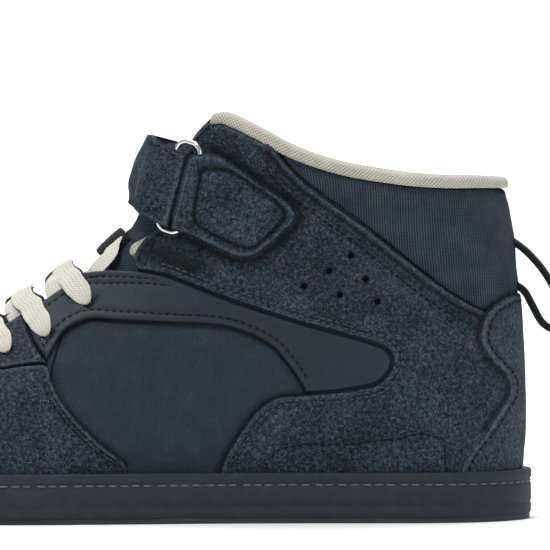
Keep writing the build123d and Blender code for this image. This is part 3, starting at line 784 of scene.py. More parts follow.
EVA = grain("eva_foam", linear(196, 194, 184), linear(222, 220, 210), 2400, 0.0002, 0.9)
BOARD = grain("fibre_board", linear(150, 140, 116), linear(190, 180, 156), 1200, 0.0002, 0.95)
STIFFENER = grain("stiffener", linear(176, 170, 156), linear(206, 200, 186), 1500, 0.0001, 0.8)
SOCK = grain("sock_fabric", linear(44, 50, 58), linear(74, 82, 92), 2600, 0.0003, 0.95)
AGLET = grain("clear_plastic", linear(170, 166, 150), linear(214, 210, 196), 400, 0.00002, 0.25)


# ---- camera, light and floor
VIEW_CENTRE = Vector((0.0489, -0.035, 0.0942))
VIEW_WIDTH = 0.209
VIEW_DISTANCE = 2.6
VIEW_RISE = math.radians(1.5)
SENSOR = 36.0


def add_camera():
    data = bpy.data.cameras.new("camera")
    data.sensor_width = SENSOR
    data.lens = SENSOR * VIEW_DISTANCE / VIEW_WIDTH
    data.clip_end = 50
    camera = bpy.data.objects.new("camera", data)
    camera.location = VIEW_CENTRE + VIEW_DISTANCE * Vector((0, -math.cos(VIEW_RISE), math.sin(VIEW_RISE)))
    camera.rotation_euler = (math.pi / 2 - VIEW_RISE, 0, 0)
    bpy.context.scene.collection.objects.link(camera)
    bpy.context.scene.camera = camera


def add_light(name, place, target, size, power, colour=(1, 1, 1)):
    data = bpy.data.lights.new(name, "AREA")
    data.shape = "RECTANGLE"
    data.size, data.size_y = size
    data.energy = power
    data.color = colour
    light = bpy.data.objects.new(name, data)
    light.location = place
    light.rotation_euler = (Vector(target) - Vector(place)).to_track_quat("-Z", "Y").to_euler()
    bpy.context.scene.collection.objects.link(light)


def add_stage():
    """A pale sweep: a floor that curves up into a wall far behind the boot."""
    reach, bend, rise = 2.5, 0.8, 2.2
    steps = 24
    profile = [(-3.2, 0.0)] + [
        (reach + bend * math.sin(a), bend * (1 - math.cos(a)))
        for a in (k * math.pi / 2 / steps for k in range(steps + 1))
    ] + [(reach + bend, bend + rise)]
    points = [(x, y, z) for y, z in profile for x in (-4.0, 4.0)]
    faces = [(2 * i, 2 * i + 1, 2 * i + 3, 2 * i + 2) for i in range(len(profile) - 1)]
    mesh = bpy.data.meshes.new("sweep")
    mesh.from_pydata(points, [], faces)
    paper = Shader("sweep_paper", Roughness=0.95, Specular_IOR_Level=0.1)
    paper.colour(paper.ramp(paper.noise(3.0), [(0.3, (0.9, 0.9, 0.9, 1)), (0.7, (0.93, 0.93, 0.93, 1))]))
    mesh.materials.append(paper.material)
    obj = bpy.data.objects.new("sweep", mesh)
    bpy.context.scene.collection.objects.link(obj)


def add_studio():
    world = bpy.data.worlds.new("studio")
    world.use_nodes = True
    world.node_tree.nodes["Background"].inputs[0].default_value = (0.95, 0.97, 1.0, 1)
    world.node_tree.nodes["Background"].inputs[1].default_value = 0.42
    bpy.context.scene.world = world
    bpy.context.scene.view_settings.view_transform = "Standard"
    add_light("key", (-0.5, -1.1, 2.0), (0.03, 0, 0.08), (0.5, 0.5), 30)
    add_light("fill", (1.5, -1.8, 0.7), (0.06, 0, 0.08), (1.4, 1.2), 7)
    add_light("top", (0.1, 0.4, 1.8), (0.03, 0, 0.08), (0.9, 0.9), 18)
    add_light("wall", (0.0, 1.2, 2.6), (0.0, 3.2, 0.3), (3.0, 1.0), 90)


add_camera()
add_stage()
add_studio()


# ---- upper
LINING_LAYER = (-4.2, -3.4)
TEXTILE_LAYER = (-1.2, 0.0)
OVERLAY_LAYER = (0.2, 1.9)
CAP_LAYER = (0.2, 2.3)
SIDES = (("lateral", -1), ("medial", 1))
PALE_ROWS = 4           # how many of the ankle panel's rows, those beside the eyestay, are in pale thread

pale_threads = Pile()
threads = Pile()


def both_sides(line):
    return [on_side(line, side) for _, side in SIDES]


def both_sides_of_heel(line):
    """The same for a piece that goes round the heel, where the lateral side follows on past u = 1."""
    lateral, medial = both_sides(line)
    return [lateral + [2, 0], medial]


def make_toe():
    top = joined(TOE_TOP)
    back = joined(TOE_EDGE)
    bottom = even([(-142.3, 12), (-7.8, 12)], 1.5)
    outline = round_nose(np.concatenate([bottom[:-1], back[:-1], top]))
    stitches = [beside(back, 2.0)[6:-1], beside(back, 3.6)[6:-1]]
    grooves = [(g, 0.28, 0.5) for line in stitches for g in both_sides(line)]
    panel("toe_overlay", outline, OVERLAY_LAYER, SUEDE, "suede", grooves=grooves,
          seed=1.0, grid=2.0)
    for line, *_ in grooves:
        sew(threads, line, OVERLAY_LAYER[1] - 0.2)


def make_vamp_overlay():
    low = spline([(x, z + 0.4) for x, z in TOE_TOP[::-1]])
    front = spline([(x - 0.5, z) for x, z in EYESTAY_TOE])
    throat = spline(THROAT_LOW[::-1])
    outline = round_nose(np.concatenate([low, front[1:], throat[1:]]))
    holes = [on_side(circle(place, EYELET_RADIUS), side) for place in EYELETS[2:] for _, side in SIDES]
    row = beside(throat, -2.4)[2:-3]
    grooves = [(g, 0.25, 0.45) for g in both_sides(row)]
    panel("vamp_overlay", outline, OVERLAY_LAYER, SUEDE, "suede", holes=holes,
          grooves=grooves, seed=2.0, grid=1.5)
    for line, *_ in grooves:
        sew(threads, line, OVERLAY_LAYER[1] - 0.2)


def make_vamp():
    throat = spline(THROAT_LOW)
    high = spline([(-46.2, 78.4), (-40, 82), (-31.5, 88)])
    back = joined(VAMP_BACK)
    bottom = even([(-22, 12), (-142.3, 12)], 2.0)
    outline = round_nose(np.concatenate([throat, high[1:], back[1:], bottom[1:]]))
    holes = [on_side(circle(place, EYELET_RADIUS + 0.1), side) for place in EYELETS[1:] for _, side in SIDES]
    panel("vamp", outline, TEXTILE_LAYER, QUARTER_KNIT, "dark_textile", holes=holes, grid=2.6,
          roll=0.5, seed=3.0)


def make_heel_cap():
    edge = spline(CAP_EDGE)
    bottom = even([(115.5, 12), (141, 12)], 1.5)
    outline = round_heel(np.concatenate([edge, bottom[1:]]))
    row = beside(edge, 2.7)[4:-6]
    grooves = [(g, 0.3, 0.5) for g in both_sides_of_heel(row)]
    panel("heel_cap", outline, CAP_LAYER, SUEDE_CAP, "suede", grooves=grooves,
          puff=0.5, seed=4.0, roll=1.1)
    for line, *_ in grooves:
        sew(threads, line, CAP_LAYER[1] + 0.1)


def make_eyestays():
    outline = joined(EYESTAY_TOP, EYESTAY_LOW, EYESTAY_TOE, THROAT_HIGH)
    low = spline(EYESTAY_LOW)
    toe = spline(EYESTAY_TOE + THROAT_HIGH[1:])
    rows = [
        spline([(-27, 91.6), (-17.6, 92.5), (-6, 92.6), (4, 92.1)]),
        spline([(-25, 89.3), (-17.6, 89.9), (0, 90.3), (10, 89.6)]),
        beside(low, -2.9)[4:-3], beside(toe, -2.3)[4:-3],
    ]
    for label, side in SIDES:
        holes = [on_side(circle(place, EYELET_RADIUS), side) for place in EYELETS[:2]]
        grooves = [(on_side(row, side), 0.3, 0.55) for row in rows]
        panel(f"{label}_eyestay", on_side(outline[:-1], side), OVERLAY_LAYER, LEATHER, "smooth_leather",
              holes=holes, grooves=grooves, seed=5.0 + side, wrinkle=0.1, grid=1.8)
        for line, *_ in grooves:
            sew(threads, line, OVERLAY_LAYER[1] - 0.22)


def make_ankle_panels():
    top = spline(SUEDE_TOP)
    low = spline(SUEDE_LOW)
    front = spline(SHAFT_FRONT)
    seam = spline(COLLAR_SEAM)
    collar = spline([(26, 151.2), (30, 151.5), (37, 148.4), (44.7, 144.7), (46.2, 144)])
    bottom = even([(27.5, 12), (140, 12)], 1.5)
    heel_line = even([(150, 12), (150, 73)], 2.0)
    outline = np.concatenate([
        top, low[1:], bottom[1:], heel_line[1:], seam[::-1][1:], collar[::-1][1:], front[::-1][1:-1],
    ])
    # A real fold below the collar seam, with a dark band of painted shade along it.
    fold = beside(seam, -3.1)[6:-9]
    # Painted shadow cast by the heel cap's edge, over a shallow groove.
    cap_shadow = beside(spline(CAP_EDGE[3:-2]), -0.9)
    # Painted shadow under the tab's edge, over a shallow groove.
    tab_shadow = beside(spline(TAB_EDGE), -1.5)
    rows = [
        beside(top, 1.9)[6:-3], beside(top, 3.5)[8:-3], beside(low, 1.9)[2:-12], beside(low, 3.5)[3:-12],
        beside(front, -2.2)[3:-3], spline(POCKET_STITCH), beside(seam, -7.2)[10:-16],
    ]
    for label, side in SIDES:
        holes = [on_side(circle(place, PERFORATION_RADIUS), side) for place in PERFORATIONS]
        grooves = [(on_side(row, side), 0.26, 0.5) for row in rows]
        grooves.append((on_side(fold, side), 0.5, 1.3, 1.0))
        grooves.append((on_side(cap_shadow, side), 0.4, 1.5, 1.0))
        # A second shallow groove further below the seam, with painted shade along it.
        grooves.append((on_side(beside(seam, -5.4)[8:-12], side), 0.25, 0.8, 0.6))
        if side < 0:
            grooves.append((on_side(tab_shadow, side), 0.4, 2.0, 1.0))
            # Painted shadow below the strap: a broad dark zone over a 0.1 mm dip.
            grooves.append((on_side(spline([(2, 103.5), (9, 100.5), (17, 96.5)]), side), 0.1, 5.2, 1.0))
        panel(f"{label}_ankle_panel", on_side(outline, side), OVERLAY_LAYER, SUEDE, "suede",
              holes=holes, grooves=grooves, seed=7.0 + side, wrinkle=0.3,
              roll=0.9, puff=0.35, puff_reach=4.0)
        for line, *_ in grooves[:PALE_ROWS]:
            sew(pale_threads, line, OVERLAY_LAYER[1] + 0.3)
        for line, *_ in grooves[PALE_ROWS:len(rows)]:
            sew(threads, line, OVERLAY_LAYER[1] + 0.12)


def make_quarters():
    front = spline([(-32, 87.5), *VAMP_BACK[1:]])
    bottom = even([(-22, 12), (142, 12)], 2.0)
    heel_line = even([(150, 12), (150, 72)], 2.0)
    seam = spline([(x, z - 1) for x, z in COLLAR_SEAM[::-1]])
    shaft = spline([(x + 0.6, z) for x, z in SHAFT_FRONT[::-1]])
    throat = spline([(-4, 95), (-14, 94.9), (-24, 93), (-32, 87.5)])
    outline = np.concatenate([
        front, bottom[1:], heel_line[1:], seam[1:], even([(46.2, 147), (28, 151.5)], 1.0)[1:-1], shaft,
        throat[:-1],
    ])
    shadows = [
        beside(spline(EYESTAY_LOW), 0.3), beside(spline(TOE_EDGE[1:]), -0.3), beside(spline(SUEDE_LOW), -0.3),
    ]
    # Painted shade in the quarter under each perforation of the ankle panel, over a small dip.
    perforation_shades = [circle(place, 0.5, 8) for place in PERFORATIONS]
    for label, side in SIDES:
        holes = [on_side(circle(EYELETS[0], EYELET_RADIUS + 0.1), side)]
        grooves = [(on_side(line, side), 0.45, 1.0) for line in shadows]
        grooves += [(on_side(dot, side), 0.6, 1.2) for dot in perforation_shades]
        panel(f"{label}_quarter", on_side(outline, side), TEXTILE_LAYER, QUARTER_KNIT, "dark_textile",
              holes=holes, grid=2.0, roll=0.5, planar=True, seed=9.0 + side,
              wrinkle=0.3, grooves=grooves)


def make_collar_knit():
    seam = spline([(x, z + 0.3) for x, z in COLLAR_SEAM])
    top = spline([(x, z - 4.2) for x, z in TOPLINE[2:]])
    outline = round_heel(np.concatenate([seam[::-1], top]))
    # Painted shadow of the heel cap's edge on the collar, over a groove.
    cap_shadow = both_sides_of_heel(beside(spline(CAP_EDGE[:5]), -0.4))
    obj = panel("collar_knit", outline, (-3.0, 0.0), COLLAR_KNIT, "collar_knit",
                also=["collar_foam"], puff=1.9, puff_reach=9.0, seed=11.0, wrinkle=0.45, grid=2.0,
                grooves=[(line, 0.5, 1.5, 1.0) for line in cap_shadow])


def make_lining():
    top = spline([(x, z - 1.2) for x, z in TOPLINE])
    front = spline(LINING_FRONT)
    throat = joined(THROAT_LOW, THROAT_HIGH)
    ridge = front_ridge(13, 68.5)
    bottom = even([(141, 13), (-142.2, 13)], 2.5)
    outline = round_heel(np.concatenate([bottom, ridge[1:], throat, front[1:], top[1:]]))
    panel("lining", outline, LINING_LAYER, LINING_MESH, "cream_lining", grid=3.2, roll=0.4,
          seed=12.0)


def make_binding():
    """The cream roll over the collar's edge: a U section carried round the top line."""
    line = spline(TOPLINE, 1.2)
    lateral, medial = both_sides_of_heel(line)
    path = np.concatenate([lateral, medial[::-1][1:]])
    section = np.array([
        (-4.4, -4.3), (-4.4, -2.0), (-4.2, -0.8), (-3.2, 0.1), (-1.6, 0.45), (-0.2, 0.3), (1.1, -0.2),
        (1.9, -1.2), (2.15, -2.4), (1.95, -3.6), (1.3, -4.3), (0.5, -4.3), (0.4, -3.0), (0.0, -1.9),
        (-1.4, -1.2), (-3.0, -1.7), (-3.6, -4.3),
    ])
    points, uv = [], []
    here = surface(*path.T)
    run = run_along(here)
    skin = run_along(section)
    for k, (u, z) in enumerate(path):
        swell = 0.12 * math.sin(run[k] * 0.9) + 0.1 * noise.noise(Vector(here[k]) / 4)
        out = normal(u, z)
        low = z + section[:, 1]
        points.append(surface(np.full(len(section), u), low) + (section[:, :1] + swell) * out)
        uv.append(np.stack([np.full(len(section), run[k]), skin], -1))
    faces = tube_faces(len(path), len(section))
    make_object("collar_binding", np.concatenate(points), faces, CREAM_MESH, "cream_lining",
                uv=np.concatenate(uv), replaces=["collar_binding"])


make_toe()
make_vamp_overlay()
make_vamp()
make_heel_cap()
make_eyestays()
make_ankle_panels()
make_quarters()
make_collar_knit()
make_lining()
make_binding()


# ---- tongue
def make_tongue():
    edge = spline(TONGUE)
    top = spline(TONGUE_TOP)
    outline = round_nose(np.concatenate([edge, top[1:]]))
    row = beside(edge, 4.0)[14:-4]
    grooves = [(g, 0.5, 0.7) for g in both_sides(row)]
    obj = panel("tongue", outline, (-7.4, -4.5), TONGUE_KNIT, "tongue_knit", also=["tongue_padding"],
                puff=1.0, puff_reach=6.0, roll=1.6, seed=14.0, grid=1.8, grooves=grooves)
    for line, *_ in grooves:
        sew(threads, line, -4.4)
    panel("tongue_lining", outline, (-8.5, -7.7), LINING_MESH, "cream_lining",
          grid=3.0, roll=0.4, seed=15.0)


make_tongue()


# ---- laces
LACE_WIDTH = 9.0
UNDER_LACE_WIDTH = 8.4
LACE_THICK = 1.1
RIDGE_PLACES = [(-26.5, 97.5), (-41.5, 87.8), (-56.5, 79.0), (-70.5, 71.8)]


def route_on(points, heights, step=0.8):
    """A path over the form from (x, z, side) points and heights, evenly spaced and smoothed."""
    x, z, side = np.array(points, float).T
    share = np.linspace(0, len(x) - 1, 24 * len(x))
    at = np.arange(len(x))
    u = np.interp(share, at, side * u_at(x, z))
    z = np.interp(share, at, z)
    places, values = np.array(heights, float).T
    flat = raised(u, z, 0 * u)
    run = run_along(flat)
    path = raised(u, z, np.interp(run / run[-1], places, values))
    outward = normal(u, z)
    both = even(np.concatenate([path, outward], -1), step)
    for _ in range(3):
        both[1:-1] = (both[:-2] + 2 * both[1:-1] + both[2:]) / 4
    return both[:, :3], unit(both[:, 3:])


def lace_across(name, start, end, side, top, replaces=(), width=LACE_WIDTH):
    """A lace up out of one eyelet, over the tongue and in under the far side to the next eyelet."""
    (xa, za), (xb, zb) = EYELETS[start], EYELETS[end]
    near, far = np.array(RIDGE_PLACES[start]), np.array(RIDGE_PLACES[end])
    over = 0.7 * near + 0.3 * far
    climb = [np.array((xa, za)) + t * (over - (xa, za)) for t in (0, 0.33, 0.66, 0.93)]
    fall = [over + t * (np.array((xb, zb)) - over) for t in (0.07, 0.4, 0.75, 1.0)]
    points = [(x, z, side) for x, z in climb] + [(x, z, -side) for x, z in fall]
    rim = 2.9
    start_heights = [(0, 1.2), (0.04, 2.2), (0.12, rim)]
    heights = [*start_heights, (0.3, rim + 0.2), (0.42, top), (0.6, top), (0.7, 1.0), (0.8, -2.2), (1, -2.4)]
    if start == end:
        heights = [*start_heights, (0.4, top - 1), (0.6, top - 1), (0.88, rim), (0.96, 2.2), (1, 1.2)]
    path, out = route_on(points, heights, 0.45)
    share = np.linspace(0, 1, len(path))
    ends = np.minimum(share, 1 - share) if start == end else share
    narrow = np.sqrt(1 - (1 - np.clip(ends / 0.13, 0.02, 1)) ** 2)
    across = np.cross(out, unit(np.gradient(path, axis=0)))
    return ribbon(name, path, across, width, LACE_THICK, LACE, "lace", ribs=6, rib_depth=0.2, narrow=narrow,
                  replaces=replaces, across_points=49)


def make_laces():
    for k in range(len(EYELETS) - 1):
        lace_across(f"lace_over_{k}", k, k + 1, -1, 4.4, ["lace_over_crossings"] if k == 0 else ())
        lace_across(f"lace_under_{k}", k, k + 1, 1, 3.3, ["lace_under_crossings"] if k == 0 else (),
                    width=UNDER_LACE_WIDTH)
    lace_across("lace_first_row", 3, 3, -1, 2.0)


LACE_END_ROUTES = {
    -1: [(-26, 87.5, -1), (-19.5, 94.6, -1), (-13.6, 101.5, -1), (-13, 106.5, -1), (-8, 110.5, 1),
         (-2, 117, 1), (4, 125, 1), (7.5, 131, 1)],
    1: [(-26, 87.5, 1), (-19.5, 94.6, 1), (-9, 101.5, 1), (-1, 106.5, 1), (5, 113.5, 1), (9, 120, 1),
        (12, 127, 1), (14, 132, 1)],
}
LACE_END_HEIGHTS = [(0, -1.2), (0.15, 1.2), (0.25, 0.6), (0.4, -1.4), (0.5, -2.4), (1, -2.4)]
AGLET_LENGTH = 14.0
AGLET_SIDES = 14
AGLET_RADII = (1.15, 1.45, 1.5, 1.5, 1.5, 1.48, 1.46, 1.44, 1.42, 1.4, 1.2, 0.4)


def make_lace_ends():
    for label, side in SIDES:
        path, out = route_on(LACE_END_ROUTES[side], LACE_END_HEIGHTS)
        across = np.cross(out, unit(np.gradient(path, axis=0)))
        ribbon(f"{label}_lace_end", path, across, LACE_WIDTH - 1.2, LACE_THICK, LACE, "lace", ribs=6,
               rib_depth=0.2, across_points=49, replaces=["lace_ends"] if side < 0 else ())
        tip = path[-1] + np.linspace(0, AGLET_LENGTH, len(AGLET_RADII))[:, None] * unit(path[-1] - path[-4])
        turn = np.arange(AGLET_SIDES)[:, None] * 2 * np.pi / AGLET_SIDES
        ring = np.cos(turn) * across[-1] + np.sin(turn) * out[-1]
        points = np.concatenate([at + radius * ring for at, radius in zip(tip, AGLET_RADII)])
        make_object(f"{label}_aglet", points, tube_faces(len(tip), AGLET_SIDES), AGLET, "clear_plastic")


def make_keeper():
    """The band across the tongue that holds the lace ends down."""
    share = np.linspace(-1, 1, 49)
    u = 0.1 * share
    z = 106.8 - 1.6 * np.abs(share) ** 1.5
    lift = -4.2 + 4.6 * (1 - np.abs(share) ** 3)
    path = raised(u, z, lift)
    up = surface(u, z + 1) - surface(u, z - 1)
    ribbon("lace_keeper", path, up, 13.0, 1.6, WEBBING, "black_webbing", replaces=["lace_keeper"], ribs=6,
           rib_depth=0.12, across_points=37)


make_laces()
make_lace_ends()
make_keeper()


# ---- strap, ring and tab
JOINTS = {joint["name"]: joint for joint in frame["record"]["behaviour"]["joints"]}
RING_BAR = np.array(JOINTS["ring_swing"]["pos_m"]) / MM
TAB_BAR = np.array(JOINTS["tab_peel"]["pos_m"]) / MM
BAR_AXIS = -np.array(JOINTS["tab_peel"]["axis"])
TO_HEEL = unit(TAB_BAR - RING_BAR)
RING_OUT = np.cross(TO_HEEL, BAR_AXIS)
RING_MIDDLE = (RING_BAR + TAB_BAR) / 2
BAR_GAP = float(np.linalg.norm(TAB_BAR - RING_BAR))
STRAP_LAYER = (2.0, 4.3)
TAB_LAYER = (3.9, 6.5)
FOLD_RADIUS = 2.8
FOLD_WIDTH = 26.4
FOLD_COVER = 0.35       # how far the strap and the tab stand above the folds that they hide
STRAP_HALF = 15.2
STRAP_END = 36.0
GROOVE_HALF = 0.45
STRAP_TILT = math.radians(14.6)
RING_CENTRE = (15.0, 127.4)
# The strap's edges as (reach, distance across) and (reach, rise above the straight lower edge).
FOLD_TOP = 12.4
TOP_EDGE = ((-40, STRAP_HALF), (-20, STRAP_HALF + 0.6), (-13.5, 14.2), (-7, 12.6))
FOLD_DROP = -1.6
FRONT_CORNER = ((-11, 0), (-16, 1.2), (-20, 3.6), (-24, 6.5), (-40, 14))
FOLD_REACH = (RING_MIDDLE[0] - RING_CENTRE[0]) / math.cos(STRAP_TILT) - GROOVE_HALF * TO_HEEL[0]

strap_threads = Pile()
tab_threads = Pile()


def strap_point(reach, across):
    """A side-view point of the strap, from distances along and across it."""
    x = RING_CENTRE[0] + reach * math.cos(STRAP_TILT) + across * math.sin(STRAP_TILT)
    return x, RING_CENTRE[1] - reach * math.sin(STRAP_TILT) + across * math.cos(STRAP_TILT)


def strap_line(*places):
    return spline([strap_point(*place) for place in places])


def low_edge(*places):
    return strap_line(*((reach, rise - STRAP_HALF) for reach, rise in places))


def ring_level(points, out):
    """Height above the form of the plane that the folds' outer faces lie in."""
    return (FOLD_RADIUS + FOLD_COVER - (points - RING_MIDDLE) @ RING_OUT) / np.maximum(out @ RING_OUT, 0.5)


def strap_lift(points, out):
    """The strap climbs from the ankle to its fold, and lies closer to the tongue low at the front."""
    reach = (points - RING_BAR) @ TO_HEEL
    across = (points - RING_BAR) @ BAR_AXIS
    climb = (ring_level(points, out) - STRAP_LAYER[1]) * smoothstep(-15, -2.8, reach)
    tuck = 2.6 * smoothstep(-5, -14, across) * smoothstep(-8, -20, reach)
    return np.where(points[:, 1] < 0, climb, 0.0) - tuck


def tab_lift(points, out):
    """The tab leaves the fold round the ring's rear bar and settles on the ankle."""
    reach = (points - TAB_BAR) @ TO_HEEL
    return (ring_level(points, out) - TAB_LAYER[1]) * (1 - smoothstep(0, 15, reach))


def beneath(line, lift, height):
    """Moves a side-view line so that it is seen where it was drawn once it has been lifted."""
    line = np.asarray(line, float)
    reach = (line - RING_MIDDLE[[0, 2]]) @ TO_HEEL[[0, 2]]
    share = smoothstep(-21, -13, reach)[:, None]
    place = line.copy()
    for _ in range(10):
        u, z = on_side(place, -1).T
        here, out = surface(u, z), normal(u, z)
        seen = here + (height + lift(here, out))[:, None] * out
        place = place + 0.6 * share * (line - seen[:, [0, 2]])
    return place


def make_strap():
    near_line = np.concatenate([
        strap_line(*TOP_EDGE, (FOLD_REACH, FOLD_TOP)),
        strap_line((FOLD_REACH, 12.0), (FOLD_REACH, 0), (FOLD_REACH, -1.2 - STRAP_HALF)),
        low_edge((FOLD_REACH, FOLD_DROP), *FRONT_CORNER),
    ])
    lateral = on_side(beneath(near_line, strap_lift, STRAP_LAYER[1]), -1)
    far_line = np.concatenate([
        low_edge(*FRONT_CORNER[::-1], (0, 0), (STRAP_END, 0)),
        strap_line((STRAP_END, -STRAP_HALF), (STRAP_END, 0), (STRAP_END, STRAP_HALF))[1:-1],
        strap_line((STRAP_END, STRAP_HALF), (0, STRAP_HALF), (-40, STRAP_HALF)),
    ])
    medial = on_side(far_line, 1)
    outline = np.concatenate([lateral[lateral[:, 0] < -0.004], medial[medial[:, 0] > 0.004]])
    rows = []
    for across, front in ((STRAP_HALF - 2.6, -40), (2.6 - STRAP_HALF, -13)):
        inner = across - 1.6 * np.sign(across)
        near = strap_line((front, across), (-12.5, across), (-9, inner), (FOLD_REACH - 2.5, inner))
        near = on_side(beneath(near, strap_lift, STRAP_LAYER[1]), -1)
        far = on_side(strap_line((front, across), (0, across), (STRAP_END - 2, across)), 1)
        rows += [line[np.abs(line[:, 0]) > 0.004] for line in (near, far)]
    grooves = [(row, 0.3, 0.5) for row in rows]
    panel("front_strap", outline, STRAP_LAYER, SUEDE, "suede", also=["strap_anchor_patch"], grooves=grooves,
          lift=strap_lift, roll=1.1, puff=0.4, puff_reach=4.0, seed=20.0, wrinkle=0.35, grid=1.6)
    for row in rows:
        sew(strap_threads, row, STRAP_LAYER[1] + 0.1, lift=strap_lift)


def make_fold(name, bar, direction, body, replaces=()):
    """The strap's end folded round a bar: a rounded roll beside the groove, with soft ends."""
    steps = np.linspace(-1, 1, 41)
    turn = np.linspace(0, 2 * np.pi, 28, endpoint=False)
    to_groove = BAR_GAP / 2 - GROOVE_HALF - FOLD_RADIUS
    points, uv = [], []
    for t in steps:
        end = 1 - 0.3 * smoothstep(0.9, 1.0, abs(t))
        ripple = 0.1 * noise.noise(Vector((t * 5, direction, 3)))
        centre = bar + BAR_AXIS * t * FOLD_WIDTH / 2
        reach = FOLD_RADIUS * end - 0.02 + ripple
        flat = np.cos(turn) * reach
        flat = np.where(np.cos(turn) * direction < 0, flat - direction * to_groove, flat)
        points.append(centre + flat[:, None] * TO_HEEL + (np.sin(turn) * reach)[:, None] * -RING_OUT)
        uv.append(np.stack([np.full(len(turn), t * FOLD_WIDTH / 2), turn * FOLD_RADIUS], -1))
    make_object(name, np.concatenate(points), tube_faces(len(steps), len(turn)), SUEDE, "suede", body,
                uv=np.concatenate(uv), replaces=replaces)


def make_tab():
    reach_bar = FOLD_REACH + 2 * GROOVE_HALF
    low, high = strap_point(reach_bar, -1.4 - STRAP_HALF), strap_point(reach_bar, 12.2)
    edge = np.concatenate([spline([low, *TAB_EDGE[1:], high]), even([high, low], 1.0)[1:-1]])
    outline = on_side(beneath(edge, tab_lift, TAB_LAYER[1]), -1)
    patch = on_side(beneath(spline([*TAB_PATCH, TAB_PATCH[0]]), tab_lift, TAB_LAYER[1]), -1)
    tab = panel("strap_tab", outline, TAB_LAYER, SUEDE, "suede", body=None, grooves=[(patch, 1.0, 0.85)],
                lift=tab_lift, roll=1.1, puff=0.6, puff_reach=5.0, seed=22.0, grid=1.3)
    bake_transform(tab)
    sew(tab_threads, patch, TAB_LAYER[1] + 0.1, lift=tab_lift)
    area = on_side(spline([*HOOK_PATCH, HOOK_PATCH[0]])[:-1], -1)
    panel("hook_patch", area, (2.8, 3.5), PILE, "hook_loop", body="tab", roll=0.3, wrinkle=0.05, seed=23.0)
    panel("loop_patch", area, (1.6, 2.4), PILE, "hook_loop", roll=0.3, wrinkle=0.05, seed=24.0)


make_strap()
make_fold("strap_fold", RING_BAR, -1, "root")
make_fold("strap_tab_fold", TAB_BAR, 1, "ring", replaces=["strap_tab_fold"])
make_tab()
threads.object("upper_stitching", THREAD, "suede")
pale_threads.object("suede_edge_stitching", PALE_THREAD, "suede")
strap_threads.object("strap_stitching", THREAD, "suede")
tab_threads.object("tab_stitching", THREAD, "suede", body="tab")


# ---- heel pull loop
def make_pull_loop():
    route = spline(LOOP_ROUTE, 0.8)
    path = np.stack([route[:, 0], 0 * route[:, 0], route[:, 1]], -1)
    across = np.tile([0.0, 1.0, 0.0], (len(path), 1))
    loop = ribbon("pull_loop", path, across, 12.0, 2.9, WEBBING, "black_webbing", body=None, ribs=6,
                  rib_depth=0.15, replaces=["pull_loop", "pull_loop_base"], across_points=37)
    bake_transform(loop)


make_pull_loop()


# ---- sole
CUP_FACE = 6.0
CHANNEL_HEIGHT = 14.6
SOLE_STITCH = 3.4
SOLE_STITCH_PITCH = 4.6
SOCK_INSET = -4.9
SOCK_TOP = 17.5


def outline_at(grow, z, count=360):
    """The sole's outline: the form's footprint moved outwards in its own plane."""
    u = np.linspace(-1, 1, count, endpoint=False)
    here = surface(u, np.full(count, UPPER_BOTTOM))
    along = unit(slopes_of(u, np.full(count, UPPER_BOTTOM))[0])
    out = np.stack([-along[:, 1], along[:, 0], 0 * u], -1)
    outward = (out * (here - [0, 0, UPPER_BOTTOM])).sum(-1, keepdims=True) > 0
    points = here + grow * np.where(outward, out, -out)
    points[:, 2] = z
    return points


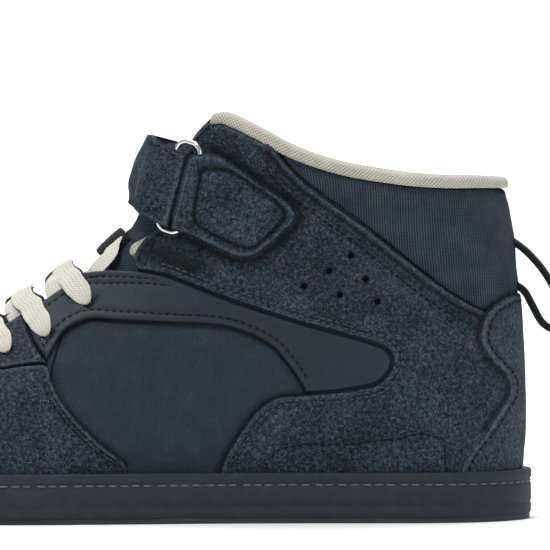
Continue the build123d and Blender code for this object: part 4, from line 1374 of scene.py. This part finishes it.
def make_foxing():
    """The cupsole's outer band: a lip, a stitched channel, a flat strip and a bevel."""
    section = [
        (-0.6, 1.8), (0.15, 2.0), (0.55, 2.8), (0.6, 5.4), (0.35, 6.0), (0.35, 6.7), (0.6, 7.2), (0.6, 13.2),
        (0.3, 13.8), (0.05, CHANNEL_HEIGHT), (0.3, 15.4), (0.7, 16.0), (0.75, 18.2), (0.4, 19.0),
        (-0.5, 19.25), (-0.9, 18.6),
    ]
    rings = np.array([outline_at(CUP_FACE + grow, z) for grow, z in section])
    count = rings.shape[1]
    points = rings.reshape(-1, 3)
    faces = tube_faces(len(section), count, closed_ends=False, cyclic=True)
    uv = np.stack([np.tile(np.arange(count) * 2.0, len(section)), points[:, 2]], -1)
    make_object("foxing_band", points, faces, BAND_RUBBER, "rubber_sole", uv=uv)
    stitches = Pile()
    line = outline_at(CUP_FACE + 0.15, CHANNEL_HEIGHT, 620)
    along = unit(np.roll(line, -1, 0) - np.roll(line, 1, 0))
    out = unit(outline_at(CUP_FACE + 1, CHANNEL_HEIGHT, 620) - line)
    run = run_along(line)
    for place in np.arange(2.0, run[-1] - 2, SOLE_STITCH_PITCH):
        k = int(np.searchsorted(run, place))
        up = np.cross(along[k], out[k])
        stitches.add(stitch(line[k], along[k], up, out[k], SOLE_STITCH, 0.42, 0.4), STITCH_FACES)
    stitches.object("sole_stitching", SOLE_THREAD, "suede")


def make_footbed():
    """The removable sock: cupped at its rim, crowned under the arch."""
    rim = outline_at(SOCK_INSET, SOCK_TOP, 160)
    spine = np.linspace(-118, 120, 41)
    nearest = np.array([
        (spine[np.argmin(np.abs(spine - x))], 0, SOCK_TOP) for x in np.clip(rim[:, 0], -118, 120)
    ])
    nearest[:, 1] = curve(CENTRE, nearest[:, 0])
    levels = [(share, 16.9 + 1.5 * share**6) for share in (0.0, 0.2, 0.4, 0.6, 0.75, 0.86, 0.93, 0.98)]
    levels += [(1.0, 17.2), (1.0, 14.2), (0.5, 13.9), (0.0, 13.9)]
    rings = []
    for share, z in levels:
        ring = nearest + (rim - nearest) * share
        ring[:, 2] = z
        rings.append(ring)
    faces = tube_faces(len(rings), len(rim), closed_ends=False)
    make_object("sockliner", np.concatenate(rings), faces, SOCK, "sock_fabric", replaces=["sockliner"])


make_foxing()
make_footbed()


# ---- CAD nodes that keep their shape get their materials
CARRIED = {
    "outsole": RUBBER, "midsole": EVA, "strobel_board": BOARD, "toe_puff": STIFFENER, "heel_counter": STIFFENER,
    "strap_ring": METAL,
}
for node_name, material in CARRIED.items():
    mesh = bpy.data.objects[node_name].data
    mesh.materials.clear()
    mesh.materials.append(material)
